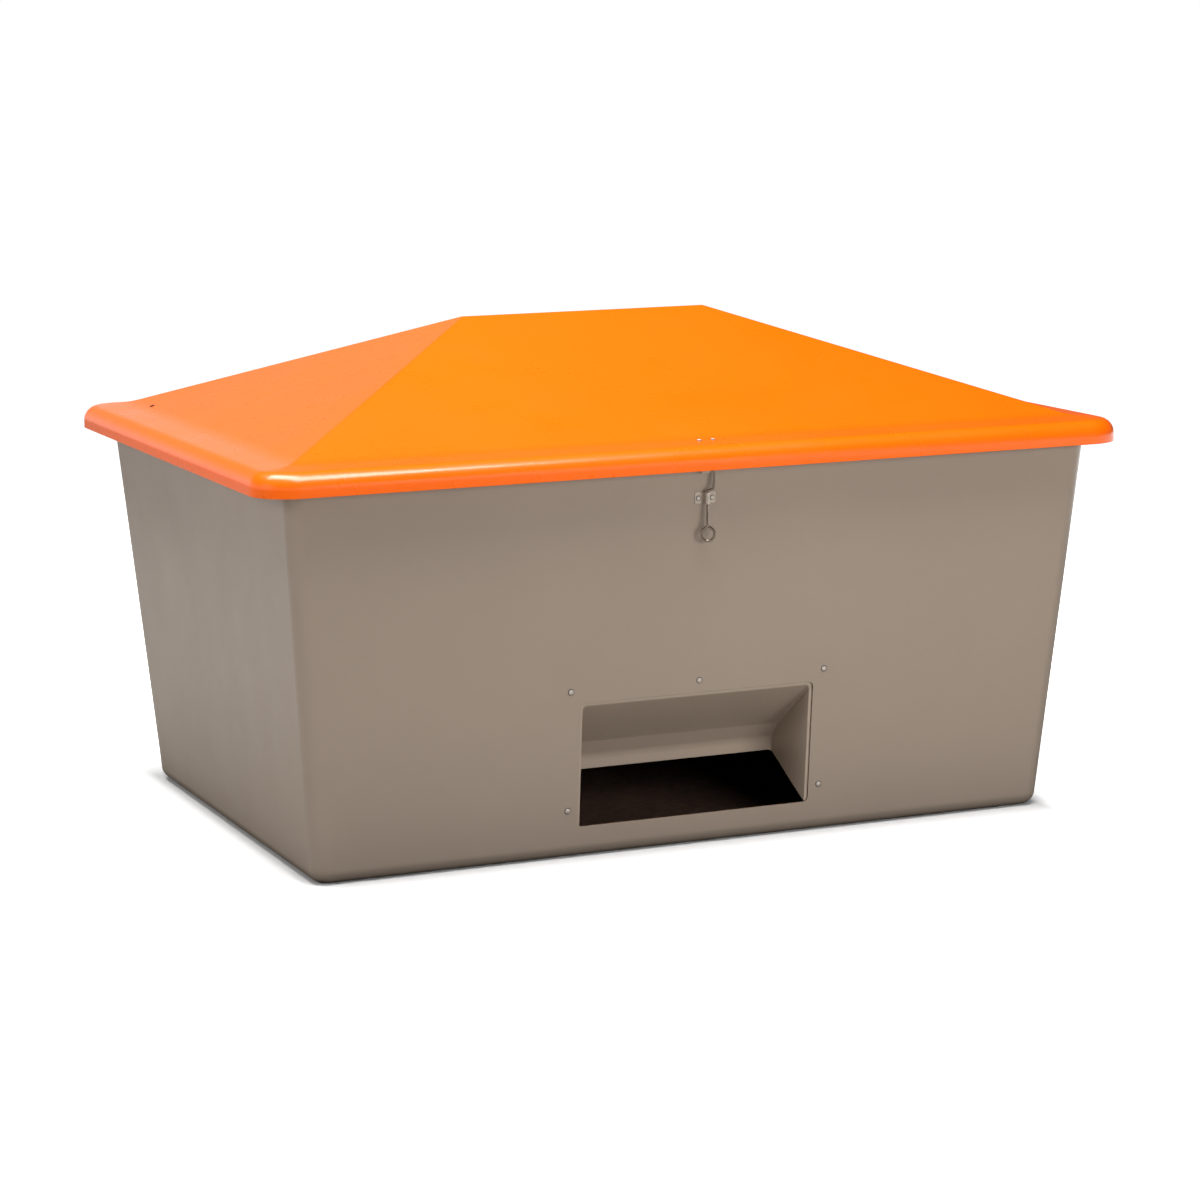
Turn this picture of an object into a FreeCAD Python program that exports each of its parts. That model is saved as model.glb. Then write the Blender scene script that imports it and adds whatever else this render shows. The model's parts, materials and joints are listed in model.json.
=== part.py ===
import FreeCAD, Part
import math
import os
from FreeCAD import Vector

# A free-standing street bin for grit or road salt: a tapered glass-fibre tub with a hooded
# dispensing mouth low in its front wall, under a hip-roof lid hinged along the back.
# Millimetres. X runs along the front, Y runs from front to back, Z is up.
# The origin is the centre of the base, on the ground. The front faces -Y.

# Tub
base_length = 1840.0        # outside, measured at the ground as if the base edge were sharp
base_width = 1225.0
end_lean = 4.5              # degrees that the end walls lean outwards
side_lean = 5.8             # degrees that the front and back walls lean outwards
tub_height = 931.0          # ground to the top of the flange
wall = 5.0
base_thickness = 6.0
tub_corner_radius = 40.0
base_edge_radius = 34.0
base_turns = (0, 20, 40, 60, 85)   # degrees round the base edge at which its sections lie
flange_width = 33.0
flange_thickness = 5.0

# Rim seal between the flange and the lid
seal_width = 14.0
seal_height = 8.0
seal_offset = 6.0           # from the outside of the wall to the middle of the seal
seal_gap = 0.3              # between the seal and the lid when it is shut

# Lid
lid_end_overhang = 38.73    # from the flange to the outside of the skirt
lid_side_overhang = 19.93
lid_wall = 5.0
skirt_height = 54.3
lid_corner_radius = 92.0
rim_round = 25.0            # rounding from the skirt into the band
band_width = 104.0          # flat margin from the rim to the foot of the roof
band_rise = 7.0
roof_rise = 236.0
ridge_length = 632.0
ridge_flat = 5.0            # width of the ridge itself
foot_blend = 100.0          # hollow blend radius between the band and the roof
hip_round = 9.0
ridge_round = 2.0
rim_turns = (0.0, 22.5, 45.0, 67.5, 90.0)   # degrees round the rim at its sections
blend_shares = (0.0, 0.25, 0.5, 0.75, 1.0)   # shares of the hollow blend at its sections

# Dispensing mouth and its hood
mouth_width = 584.0
mouth_sill = 73.0
mouth_head = 364.0
mouth_corner = 12.0
hood_wall = 4.0
hood_inset = 7.0            # the hood's own mouth is this much smaller all round
hood_depth = 163.0          # from the hood's head to the fold of its roof
hood_fall = 120.0           # from the head down to the fold
throat_depth = 33.0
throat_fall = 42.0
lip_drop = 29.0
lip_return = 3.0
hood_foot_rise = 6.0        # the hood's flange starts this far above the sill
hood_draft = 6.0            # each cheek leans in by this much over the depth
hood_flange = 48.0
hood_corner_round = 10.0

# Rivets: large dome heads outside, small set heads inside
rivet_head_radius = 7.5
dome_share = 0.3            # height of a dome as a share of its radius
head_edge = 0.7             # upright rim under a dome
rivet_shank_radius = 3.2
rivet_tail_radius = 5.5
rivet_tail_height = 2.0
hole_clearance = 0.1        # radial, round rivets, bolts and studs that are fixed
mouth_rivet_out = 26.0      # beyond the mouth's side
mouth_rivet_top = 30.0      # above the mouth's head
mouth_rivet_low = 41.0      # above the mouth's sill

# Wire latch
latch_x = -4.0
latch_stand_off = 14.4      # from the front wall to the turning axis, at the saddle
latch_wire_radius = 3.2
latch_rest_angle = 20.0     # degrees that the plane of the wire is turned out from the wall
saddle_drop = 110.0         # the saddle's middle below the top of the flange
saddle_width = 51.0
saddle_height = 26.0
saddle_plate = 2.0
saddle_corner = 4.0
saddle_rivet_pitch = 34.0
small_head_radius = 6.0
running_fit = 0.05          # radial, where one piece turns in another
latch_sleeve_wall = 2.2
latch_web = 5.0
ring_radius = 18.0
ring_drop = 85.0            # from the saddle's middle down to the ring's centre
ring_gap_angle = 24.0       # degrees from the ring's top to the cut end of the wire
ring_join_angle = 38.0      # degrees from the ring's top to where the wire leaves it
ring_neck = 11.0
seat_gap = 0.3              # between the hook's first bend and the saddle under it
hook_foot = 13.0            # end of the first bend's run, from the turning axis
hook_foot_rise = 5.0
hook_bulge = 16.0           # widest place, from the turning axis
hook_bulge_drop = 22.0      # the bulge below the crown
hook_bulge_radius = 15.0
hook_shoulder = 12.5        # start of the crown, from the turning axis
hook_tip_drop = 1.0         # the wire's end below the crown
hook_crown = 31.0           # the middle of the hook's crown below the flange
hook_bend = 4.5
hook_crown_bend = 7.0

# Keeper on the lid
keeper_plate = 3.0
keeper_width = 58.0
keeper_rivet_pitch = 34.0
keeper_x = 7.6
keeper_base = 54.0          # length of the foot under the band
keeper_claw_width = 11.0
keeper_tooth_height = 8.0
keeper_tooth_gap = 5.0      # between the tooth and the wire above it
keeper_side_gap = 1.0       # between the tooth and the wire beside it
keeper_tooth_end = 3.0      # the tooth runs this far past the turning axis
keeper_rivet_inset = 81.0   # from the lid's front edge
notch_margin = 9.0          # room round the keeper in the flange
notch_wall_gap = 1.5        # between the notch and the wall behind it
seal_notch_margin = 3.0     # the seal's gap is this much wider on each side

# Hinges
hinge_places = {"left": -640.0, "centre": 0.0, "right": 640.0}
hinge_width = 84.0
hinge_plate = 3.0
knuckle_radius = 7.0
pin_radius = 4.0
hinge_drop = 8.0            # the axis lies this much below the skirt
knuckle_gap = 0.5
hinge_rivet_pitch = 54.0
hinge_leaf_gap = 5.0        # between the flange's edge and the leaf that drops past it
hinge_tab = 28.0
hinge_rivet_inset = 12.0    # from the flange's edge
skirt_leaf_height = 25.0
skirt_leaf_rise = 0.5       # above the skirt's lower edge
skirt_rivet_rise = 1.5      # above the middle of the leaf
knuckle_relief = 2.0        # room round the lid's knuckle
pin_head_radius = 5.6
pin_head_height = 2.0

# Gas struts
strut_inset = 150.0         # from the lid's end to the strut
strut_anchor_inset = 273.0  # lid end, in front of the lid's back edge
strut_anchor_drop = 39.0    # lid end, below the lid's edge
strut_start_angle = 69.6    # degrees at the hinge between the two ends with the lid shut
strut_cylinder_radius = 11.0
strut_tube_wall = 1.5
strut_rod_radius = 4.0
strut_end = 20.0            # from an eye's centre to the end of its neck
strut_neck_radius = 5.0
eye_radius = 8.0
eye_thickness = 8.0
stud_radius = 4.0
gland_length = 12.0
gland_cap = 3.0
rod_showing = 8.0
piston_length = 12.0
piston_rest = 6.0
piston_clearance = 0.2
rod_clearance = 0.1
bracket_plate = 3.0
bracket_gap = 4.0           # between an eye and the bracket's ear
bracket_ear_radius = 12.0
bracket_length = 50.0
bracket_foot = 40.0
lid_bracket_foot = 28.0
bracket_shoulder = 12.0     # the ear starts this far below the foot's top
strut_bolt_offset = 14.0    # from the strut inwards to the tub's bolts
strut_bolt_pitch = 30.0
bolt_radius = 3.8
bolt_head_radius = 7.0
nut_height = 5.0
lid_bolt_inset = 121.0      # from the lid's end
stud_head_radius = 6.5
stud_head_height = 2.5

# Cutting blocks and bores run this far past the faces that they open
over = 1.0
far = 60.0

# Two places closer than this are the same
same = 0.01


# Places that follow from the sizes above

end_slope = math.tan(math.radians(end_lean))
side_slope = math.tan(math.radians(side_lean))
lid_edge_z = tub_height + seal_height + seal_gap + lid_wall
skirt_bottom = lid_edge_z - skirt_height
foot_z = lid_edge_z + band_rise
ridge_z = foot_z + roof_rise
band_slope = band_rise / (band_width - rim_round)


def half_length(z):
    """Half of the tub's outside length at a height."""
    return base_length / 2 + z * end_slope


def half_width(z):
    """Half of the tub's outside width at a height."""
    return base_width / 2 + z * side_slope


lid_length = 2 * (half_length(tub_height) + flange_width + lid_end_overhang)
lid_width = 2 * (half_width(tub_height) + flange_width + lid_side_overhang)
hinge_y = lid_width / 2 + knuckle_radius
hinge_z = skirt_bottom - hinge_drop
strut_x = lid_length / 2 - strut_inset
strut_anchor_y = lid_width / 2 - strut_anchor_inset
lid_bolt_x = lid_length / 2 - lid_bolt_inset
saddle_z = tub_height - saddle_drop


def rounded_wire(hx, hy, radius, z):
    """A rectangle with round corners, lying level at a height."""
    k = radius * (1 - math.sqrt(0.5))
    corners = ((1, 1), (-1, 1), (-1, -1), (1, -1))
    edges = []
    for i, (sx, sy) in enumerate(corners):
        nx, ny = corners[(i + 1) % 4]
        side_x = Vector(sx * hx, sy * (hy - radius), z)
        side_y = Vector(sx * (hx - radius), sy * hy, z)
        middle = Vector(sx * (hx - k), sy * (hy - k), z)
        first, last = (side_x, side_y) if sx * sy > 0 else (side_y, side_x)
        edges.append(Part.Arc(first, middle, last).toShape())
        if sx * sy > 0:
            follow = Vector(nx * (hx - radius), ny * hy, z)
        else:
            follow = Vector(nx * hx, ny * (hy - radius), z)
        edges.append(Part.makeLine(last, follow))
    return Part.Wire(edges)


def ruled(wires):
    """A closed solid with straight walls from each wire to the next, flat between parallel lines."""
    faces = [Part.Face(wires[-1]), Part.Face(wires[0])]
    for low, high in zip(wires, wires[1:]):
        for a, b in zip(low.OrderedEdges, high.OrderedEdges):
            if a.Curve.TypeId == "Part::GeomLine":
                corners = [a.valueAt(a.FirstParameter), a.valueAt(a.LastParameter),
                           b.valueAt(b.LastParameter), b.valueAt(b.FirstParameter)]
                faces.append(Part.Face(Part.makePolygon(corners + corners[:1])))
            else:
                faces.append(Part.makeRuledSurface(a, b))
    shell = Part.makeShell(faces)
    shell.sewShape()
    return Part.makeSolid(shell)


def slab(hx, hy, radius, z0, z1):
    """An upright block with round corners."""
    face = Part.Face(rounded_wire(hx, hy, radius, z0))
    return face.extrude(Vector(0, 0, z1 - z0))


def block(x0, x1, y0, y1, z0, z1):
    return Part.makeBox(x1 - x0, y1 - y0, z1 - z0, Vector(x0, y0, z0))


def prism_x(points, x0, x1):
    """A polygon of (y, z) points run along X."""
    corners = [Vector(x0, y, z) for y, z in points]
    return Part.Face(Part.makePolygon(corners + corners[:1])).extrude(Vector(x1 - x0, 0, 0))


def rod(start, direction, length, radius):
    return Part.makeCylinder(radius, length, start, direction)


def turned(profile, seat, outwards):
    """A fastener turned from (radius, height) points that end at the rim of its dome, standing on seat."""
    start, top = profile[0], profile[-1]
    edges = []
    for a, b in zip(profile, profile[1:]):
        edges.append(Part.makeLine(Vector(a[0], 0, a[1]), Vector(b[0], 0, b[1])))
    radius, height = top
    ball = (radius ** 2 + dome_share ** 2 * radius ** 2) / (2 * dome_share * radius)
    crown = height + dome_share * radius
    lean = math.asin(radius / ball) / 2
    middle = Vector(ball * math.sin(lean), 0, crown - ball + ball * math.cos(lean))
    edges.append(Part.Arc(Vector(radius, 0, height), middle, Vector(0, 0, crown)).toShape())
    edges.append(Part.makeLine(Vector(0, 0, crown), Vector(0, 0, start[1])))
    body = Part.Face(Part.Wire(edges)).revolve(Vector(0, 0, 0), Vector(0, 0, 1), 360)
    body.Placement = FreeCAD.Placement(seat, FreeCAD.Rotation(Vector(0, 0, 1), outwards))
    return body


def rivet(seat, outwards, grip, head_radius=rivet_head_radius):
    """A rivet whose dome sits on seat, with the grip behind it and a set head past the grip."""
    tail = -grip - rivet_tail_height
    profile = [(0, tail), (rivet_tail_radius, tail), (rivet_tail_radius, -grip),
               (rivet_shank_radius, -grip), (rivet_shank_radius, 0), (head_radius, 0), (head_radius, head_edge)]
    return turned(profile, seat, outwards)


def rivet_hole(seat, outwards, grip):
    start = seat - outwards * (grip + over)
    return rod(start, outwards, grip + 2 * over, rivet_shank_radius + hole_clearance)


def bolt_hole(seat, outwards, grip):
    start = seat - outwards * (grip + over)
    return rod(start, outwards, grip + 2 * over, bolt_radius + hole_clearance)


front_out = Vector(0, -math.cos(math.radians(side_lean)), -math.sin(math.radians(side_lean)))
rear_out = Vector(0, math.cos(math.radians(side_lean)), -math.sin(math.radians(side_lean)))
wall_run = wall / math.cos(math.radians(side_lean))


def front_wall(x, z):
    """The point of the front wall's outside at a place."""
    return Vector(x, -half_width(z), z)


def rear_wall(x, z):
    return Vector(x, half_width(z), z)


# Tub shell

def edge_inset(rise, radius, lean):
    """How far a rounded base edge lies inside its leaning wall, at a rise above the base."""
    angle = math.radians(lean)
    if rise >= radius * (1 - math.sin(angle)):
        return 0.0
    centre = radius * math.tan(math.radians(45) - angle / 2)
    return centre + rise * math.tan(angle) - math.sqrt(radius ** 2 - (radius - rise) ** 2)


def tub_block(inset, bottom, top, edge_radius):
    """The tub's tapered form, moved in by an inset, with its base edge rounded."""
    end_inset = inset / math.cos(math.radians(end_lean))
    side_inset = inset / math.cos(math.radians(side_lean))
    rises = [edge_radius * (1 - math.cos(math.radians(turn))) for turn in base_turns]
    wires = []
    for rise in rises + [top - bottom]:
        z = bottom + rise
        end_round = edge_inset(rise, edge_radius, end_lean)
        side_round = edge_inset(rise, edge_radius, side_lean)
        hx = half_length(z) - end_inset - end_round
        hy = half_width(z) - side_inset - side_round
        wires.append(rounded_wire(hx, hy, tub_corner_radius - inset - end_round, z))
    return ruled(wires)


mouth_half = mouth_width / 2


def mouth_cutter(grow):
    """A block through the front wall with round corners, larger or smaller than the mouth."""
    hx = mouth_half + grow
    hz = (mouth_head - mouth_sill) / 2 + grow
    middle = (mouth_head + mouth_sill) / 2
    reach = half_width(mouth_head) / 4
    cutter = slab(hx, hz, mouth_corner + grow, -reach, reach)
    cutter.rotate(Vector(0, 0, 0), Vector(1, 0, 0), 90)
    cutter.translate(Vector(0, -half_width(middle), middle))
    return cutter


keeper_y = -(half_width(saddle_z) + latch_stand_off)
latch_axis = Vector(latch_x, keeper_y, 0)
crown_z = tub_height - flange_thickness - hook_crown
tooth_top = crown_z - latch_wire_radius - keeper_tooth_gap
tooth_back = keeper_y - hook_shoulder + latch_wire_radius + keeper_side_gap
tooth_front = tooth_back + keeper_plate


def flange_notch(extra=0.0):
    """The gap in the front flange that the keeper drops through."""
    hx = keeper_width / 2 + notch_margin + extra
    wall_y = -half_width(tub_height) - notch_wall_gap
    return block(keeper_x - hx, keeper_x + hx, -lid_width / 2, wall_y, crown_z, lid_edge_z)


mouth_rivet_x = mouth_half + mouth_rivet_out
upper_rivet_z = mouth_head + mouth_rivet_top
lower_rivet_z = mouth_sill + mouth_rivet_low
mouth_rivet_places = [(x, upper_rivet_z) for x in (-mouth_rivet_x, 0.0, mouth_rivet_x)]
mouth_rivet_places += [(x, lower_rivet_z) for x in (-mouth_rivet_x, mouth_rivet_x)]
saddle_rivet_places = [(latch_x + side * saddle_rivet_pitch / 2, saddle_z) for side in (-1, 1)]
hinge_rivet_y = half_width(tub_height) + flange_width - hinge_rivet_inset
hinge_rivet_x = [x + side * hinge_rivet_pitch / 2
                 for x in hinge_places.values() for side in (-1, 1)]


def strut_ends():
    """Both pivots of a strut in the plane of its travel: the lid's, then the tub's."""
    anchor = Vector(0, strut_anchor_y, lid_edge_z - strut_anchor_drop)
    arm = anchor - Vector(0, hinge_y, hinge_z)
    reach = arm.Length
    angle = math.atan2(arm.z, arm.y) + math.radians(strut_start_angle)
    foot = Vector(0, hinge_y + reach * math.cos(angle), hinge_z + reach * math.sin(angle))
    return anchor, foot


strut_top, strut_foot = strut_ends()
strut_line = (strut_top - strut_foot).normalize()
strut_closed = (strut_top - strut_foot).Length
strut_bolt_places = [(side * (strut_x - strut_bolt_offset), strut_foot.z + end * strut_bolt_pitch / 2)
                     for side in (-1, 1) for end in (-1, 1)]


def tub_shell():
    hx = half_length(tub_height) + flange_width
    hy = half_width(tub_height) + flange_width
    flange_low = tub_height - flange_thickness
    outer = tub_block(0.0, 0.0, tub_height, base_edge_radius)
    flange = slab(hx, hy, tub_corner_radius + flange_width, flange_low, tub_height)
    inner = tub_block(wall, base_thickness, tub_height + over, base_edge_radius - wall)
    shell = outer.fuse(flange).cut(inner)
    front_half = block(-mouth_width, mouth_width, -base_width, 0, 0, base_width)
    cutters = [mouth_cutter(0.0).common(front_half), flange_notch()]
    cutters += [rivet_hole(front_wall(x, z), front_out, wall) for x, z in mouth_rivet_places]
    cutters += [rivet_hole(front_wall(x, z), front_out, wall) for x, z in saddle_rivet_places]
    up = Vector(0, 0, 1)
    cutters += [rivet_hole(Vector(x, hinge_rivet_y, tub_height), up, flange_thickness)
                for x in hinge_rivet_x]
    cutters += [bolt_hole(rear_wall(x, z), rear_out, wall) for x, z in strut_bolt_places]
    return shell.cut(cutters)


# Hood inside the dispensing mouth

def hood_profile(grow):
    """The hood's side view as (y, z) points: head, fold, throat, lip, and the sill at the wall."""
    head_z = mouth_head - hood_inset
    sill_z = mouth_sill
    head_y = -half_width(head_z) + wall_run
    fold = (head_y + hood_depth, head_z - hood_fall)
    throat = (fold[0] + throat_depth, fold[1] - throat_fall)
    lip = (throat[0] - lip_return, throat[1] - lip_drop)
    sill = (-half_width(sill_z) + wall_run, sill_z)
    fall_angle = math.atan2(hood_fall, hood_depth)
    throat_angle = math.atan2(throat_fall, throat_depth)
    front = head_y - wall
    head = (front, head_z + wall * math.tan(fall_angle) + grow / math.cos(fall_angle))
    bend = (fall_angle + throat_angle) / 2
    reach = grow / math.cos((throat_angle - fall_angle) / 2)
    fold = (fold[0] + reach * math.sin(bend), fold[1] + reach * math.cos(bend))
    throat = (throat[0] + grow, throat[1] + grow * math.tan(math.radians(45) - throat_angle / 2))
    lip = (lip[0] + grow, lip[1])
    return [head, fold, throat, lip, sill, (front, sill_z)]


def hood_block(grow):
    """The hood's form, grown all round, with rounded folds and corners."""
    points = hood_profile(grow)
    half = mouth_half - hood_inset + grow
    front_y = points[0][0]
    back_y = points[2][0] + over
    body = prism_x(points, -half, half)
    wires = []
    for y, hx in ((front_y, half), (back_y, half - hood_draft)):
        corners = [Vector(-hx, y, 0), Vector(hx, y, 0), Vector(hx, y, base_width), Vector(-hx, y, base_width)]
        wires.append(Part.makePolygon(corners + corners[:1]))
    body = body.common(Part.makeLoft(wires, True, True))
    folds = []
    for edge in body.Edges:
        box = edge.BoundBox
        level = max(box.YLength, box.ZLength) < same
        if level and min(abs(box.YMin - y) for y, z in points[1:3]) < same:
            folds.append(edge)
    return body.makeFillet(hood_corner_round + grow, folds)


def chute_hood():
    shell = hood_block(hood_wall).cut(hood_block(0.0))
    # The cheeks are closed down to the line from the lip to the sill
    profile = hood_profile(0.0)
    lip, sill = profile[3], profile[4]
    under = [(lip[0] + far, lip[1]), lip, sill, (sill[0] - far, sill[1]), (sill[0] - far, 0), (lip[0] + far, 0)]
    shell = shell.cut(prism_x(under, -mouth_width, mouth_width))
    hx = mouth_half - hood_inset
    outer_half = hx + hood_flange
    head_z = mouth_head - hood_inset + hood_flange
    low_z = mouth_sill + hood_foot_rise

    def on_wall(z, depth):
        return (-half_width(z) + wall_run + depth, z)
    plate_run = hood_wall / math.cos(math.radians(side_lean))
    section = [on_wall(low_z, 0), on_wall(head_z, 0), on_wall(head_z, plate_run), on_wall(low_z, plate_run)]
    plate = prism_x(section, -outer_half, outer_half)
    opening = mouth_cutter(-hood_inset)
    drop = block(-hx, hx, -base_width, 0, 0, mouth_head / 2)
    above = head_z + far
    in_front = prism_x([on_wall(0, 0), on_wall(above, 0), (-base_width, above), (-base_width, 0)],
                       -mouth_width, mouth_width)
    shell = shell.cut(in_front)
    hood = shell.fuse(plate.cut([opening, drop]).cut(hood_block(0.0))).removeSplitter()
    grip = wall + hood_wall
    return hood.cut([rivet_hole(front_wall(x, z), front_out, grip) for x, z in mouth_rivet_places])


def chute_rivets():
    return [rivet(front_wall(x, z), front_out, wall + hood_wall) for x, z in mouth_rivet_places]


# Rim seal

def rim_seal():
    hx = half_length(tub_height) + seal_offset
    hy = half_width(tub_height) + seal_offset
    edge = seal_width / 2
    radius = tub_corner_radius + seal_offset
    top = tub_height + seal_height
    ring = slab(hx + edge, hy + edge, radius + edge, tub_height, top)
    ring = ring.cut(slab(hx - edge, hy - edge, radius - edge, tub_height, top))
    gap = flange_notch(seal_notch_margin)
    return ring.cut(gap.fuse(gap.translated(Vector(0, seal_width, 0))))


# Latch

def latch_saddle():
    low = saddle_z - saddle_height / 2
    top = saddle_z + saddle_height / 2
    hx = saddle_width / 2
    run = saddle_plate / math.cos(math.radians(side_lean))
    plate = prism_x([(-half_width(low), low), (-half_width(top), top),
                     (-half_width(top) - run, top), (-half_width(low) - run, low)], latch_x - hx, latch_x + hx)
    bore = latch_wire_radius + running_fit
    sleeve = rod(latch_axis + Vector(0, 0, low), Vector(0, 0, 1), saddle_height, bore + latch_sleeve_wall)
    web = block(latch_x - latch_web / 2, latch_x + latch_web / 2, keeper_y, -half_width(low) + wall, low, top)
    wall_line = [(-half_width(z), z) for z in (low - over, top + over)]
    inside = prism_x(wall_line + [(0, top + over), (0, low - over)], -mouth_width, mouth_width)
    corners = [edge for edge in plate.Edges if edge.BoundBox.XLength < same and edge.Length < 2 * saddle_plate]
    body = plate.makeFillet(saddle_corner, corners).fuse([sleeve, web]).cut(inside)
    start = latch_axis + Vector(0, 0, low - over)
    bore_cut = rod(start, Vector(0, 0, 1), saddle_height + 2 * over, bore)
    seats = [front_wall(x, z) + front_out * saddle_plate for x, z in saddle_rivet_places]
    return body.cut([bore_cut] + [rivet_hole(seat, front_out, saddle_plate) for seat in seats])


def saddle_rivets():
    grip = wall + saddle_plate
    seats = [front_wall(x, z) + front_out * saddle_plate for x, z in saddle_rivet_places]
    return [rivet(seat, front_out, grip, small_head_radius) for seat in seats]


def filleted_path(points, radii):
    """Straight runs through the points with an arc of the given radius at each inner point."""
    edges = []
    start = points[0]
    for i, radius in enumerate(radii, 1):
        here = points[i]
        back = (points[i - 1] - here).normalize()
        ahead = (points[i + 1] - here).normalize()
        half = math.acos(max(-1.0, min(1.0, back.dot(ahead)))) / 2
        run = radius / math.tan(half)
        first = here + back * run
        last = here + ahead * run
        middle = here + (back + ahead).normalize() * (radius / math.sin(half) - radius)
        edges.append(Part.makeLine(start, first))
        edges.append(Part.Arc(first, middle, last).toShape())
        start = last
    edges.append(Part.makeLine(start, points[-1]))
    return edges


def latch_hook():
    """One bent wire: a ring to pull, a shank that turns in the saddle, and a crooked hook."""
    ring_z = saddle_z - ring_drop
    bend_z = saddle_z + saddle_height / 2 + seat_gap + latch_wire_radius

    def at(u, z):
        return Vector(u, 0, z)
    gap = math.radians(ring_gap_angle)
    end = at(ring_radius * math.sin(gap), ring_z + ring_radius * math.cos(gap))
    low = at(0, ring_z - ring_radius)
    join_turn = math.radians(ring_join_angle)
    join = at(-ring_radius * math.sin(join_turn), ring_z + ring_radius * math.cos(join_turn))
    leave = Vector(math.cos(join_turn), 0, math.sin(join_turn))
    # The tangent at the join meets the turning axis at the foot of the shank
    neck = at(0, join.z + leave.z / leave.x * -join.x)
    ring = Part.Arc(end, low, join).toShape()
    foot = at(hook_foot, bend_z + hook_foot_rise)
    bulge = at(hook_bulge, crown_z - hook_bulge_drop)
    tip = at(0, crown_z - hook_tip_drop)
    points = [join, neck, at(0, bend_z), foot, bulge, at(hook_shoulder, crown_z), tip]
    bends = [ring_neck, hook_bend, hook_bend, hook_bulge_radius, hook_crown_bend]
    path = [ring] + filleted_path(points, bends)
    wire = Part.Wire(path)
    tangent = path[0].tangentAt(path[0].FirstParameter)
    circle = Part.Wire(Part.makeCircle(latch_wire_radius, end, tangent))
    hook = wire.makePipeShell([circle], True, False)
    hook.rotate(Vector(0, 0, 0), Vector(0, 0, 1), -latch_rest_angle)
    hook.translate(latch_axis)
    return hook


def band_under(y):
    """The underside of the lid's front band at a distance from its middle."""
    inset = lid_width / 2 - abs(y)
    thick = lid_wall * math.sqrt(1 + band_slope ** 2)
    return lid_edge_z + (inset - rim_round) * band_slope - thick


def latch_keeper():
    base_end = tooth_front + keeper_base
    base = [(tooth_back, band_under(tooth_back)), (base_end, band_under(base_end)),
            (base_end, band_under(base_end) - keeper_plate),
            (tooth_front, band_under(tooth_front) - keeper_plate),
            (tooth_front, tooth_top - keeper_tooth_height), (tooth_back, tooth_top - keeper_tooth_height)]
    x0 = keeper_x - keeper_width / 2
    x1 = keeper_x + keeper_width / 2
    plate = prism_x(base, x0, x1)
    shoulder = crown_z + latch_wire_radius + keeper_tooth_gap
    y0, y1 = tooth_back - over, tooth_front + over
    tooth_low = tooth_top - keeper_tooth_height
    slot = block(x0 + keeper_claw_width, x1 + over, y0, y1, tooth_top, shoulder)
    free = block(latch_x + keeper_tooth_end, x1 + over, y0, y1, tooth_low - over, tooth_top + over)
    body = plate.cut([slot, free])
    return body.cut([rivet_hole(seat, band_out, lid_wall + keeper_plate) for seat in keeper_seats])


band_out = Vector(0, -band_slope, 1).normalize()
keeper_seat_y = -(lid_width / 2 - keeper_rivet_inset)
keeper_seats = [Vector(keeper_x + side * keeper_rivet_pitch / 2, keeper_seat_y,
                       lid_edge_z + (keeper_rivet_inset - rim_round) * band_slope) for side in (-1, 1)]


def keeper_rivets():
    return [rivet(seat, band_out, lid_wall + keeper_plate, small_head_radius) for seat in keeper_seats]


# Lid shell

band_angle = math.atan(band_slope)
roof_run = lid_width / 2 - band_width - ridge_flat / 2
roof_angle = math.atan2(roof_rise, roof_run)


def blend_points(thick):
    """The hollow blend between band and roof as (inset, z) points, outside or a thickness under it."""
    reach = foot_blend * math.tan((roof_angle - band_angle) / 2)
    start = band_width - reach * math.cos(band_angle)
    start_z = foot_z - reach * math.sin(band_angle)
    points = []
    for share in blend_shares:
        angle = band_angle + (roof_angle - band_angle) * share
        inset = start + foot_blend * (math.sin(angle) - math.sin(band_angle)) + thick * math.sin(angle)
        z = start_z + foot_blend * (math.cos(band_angle) - math.cos(angle)) - thick * math.cos(angle)
        points.append((inset, z))
    return points


def ridge_height(thick):
    return ridge_z - thick / math.cos(roof_angle)


def lid_form(thick, floor_z):
    """The lid's outside form, or its inside when a thickness is taken off."""
    def section(inset, z, radius):
        return rounded_wire(lid_length / 2 - inset, lid_width / 2 - inset, radius, z)
    edge_round = rim_round - thick
    wires = [section(thick, floor_z, lid_corner_radius - thick)]
    for turn in rim_turns:
        inset = rim_round - edge_round * math.cos(math.radians(turn))
        z = lid_edge_z - rim_round + edge_round * math.sin(math.radians(turn))
        wires.append(section(inset, z, lid_corner_radius - inset))
    wires += [section(inset, z, hip_round) for inset, z in blend_points(thick)]
    wires.append(rounded_wire(ridge_length / 2, ridge_flat / 2, ridge_round, ridge_height(thick)))
    return ruled(wires)


def lid_shell():
    body = lid_form(0.0, skirt_bottom).cut(lid_form(lid_wall, skirt_bottom - over))
    cutters = [rivet_hole(seat, band_out, lid_wall) for seat in keeper_seats]
    back = Vector(0, 1, 0)
    cutters += [rivet_hole(Vector(x, lid_width / 2, skirt_rivet_z), back, lid_wall) for x in hinge_rivet_x]
    for side in (-1, 1):
        seat, out = lid_bolt_seat(side)
        cutters.append(bolt_hole(seat, out, lid_wall))
    return body.cut(cutters)


# Hinges

skirt_leaf_low = skirt_bottom + skirt_leaf_rise
skirt_rivet_z = skirt_bottom + skirt_leaf_height / 2 + skirt_rivet_rise
knuckle_third = hinge_width / 3


def pin_bore(x):
    start = Vector(x - hinge_width, hinge_y, hinge_z)
    return rod(start, Vector(1, 0, 0), 2 * hinge_width, pin_radius + running_fit)


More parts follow.
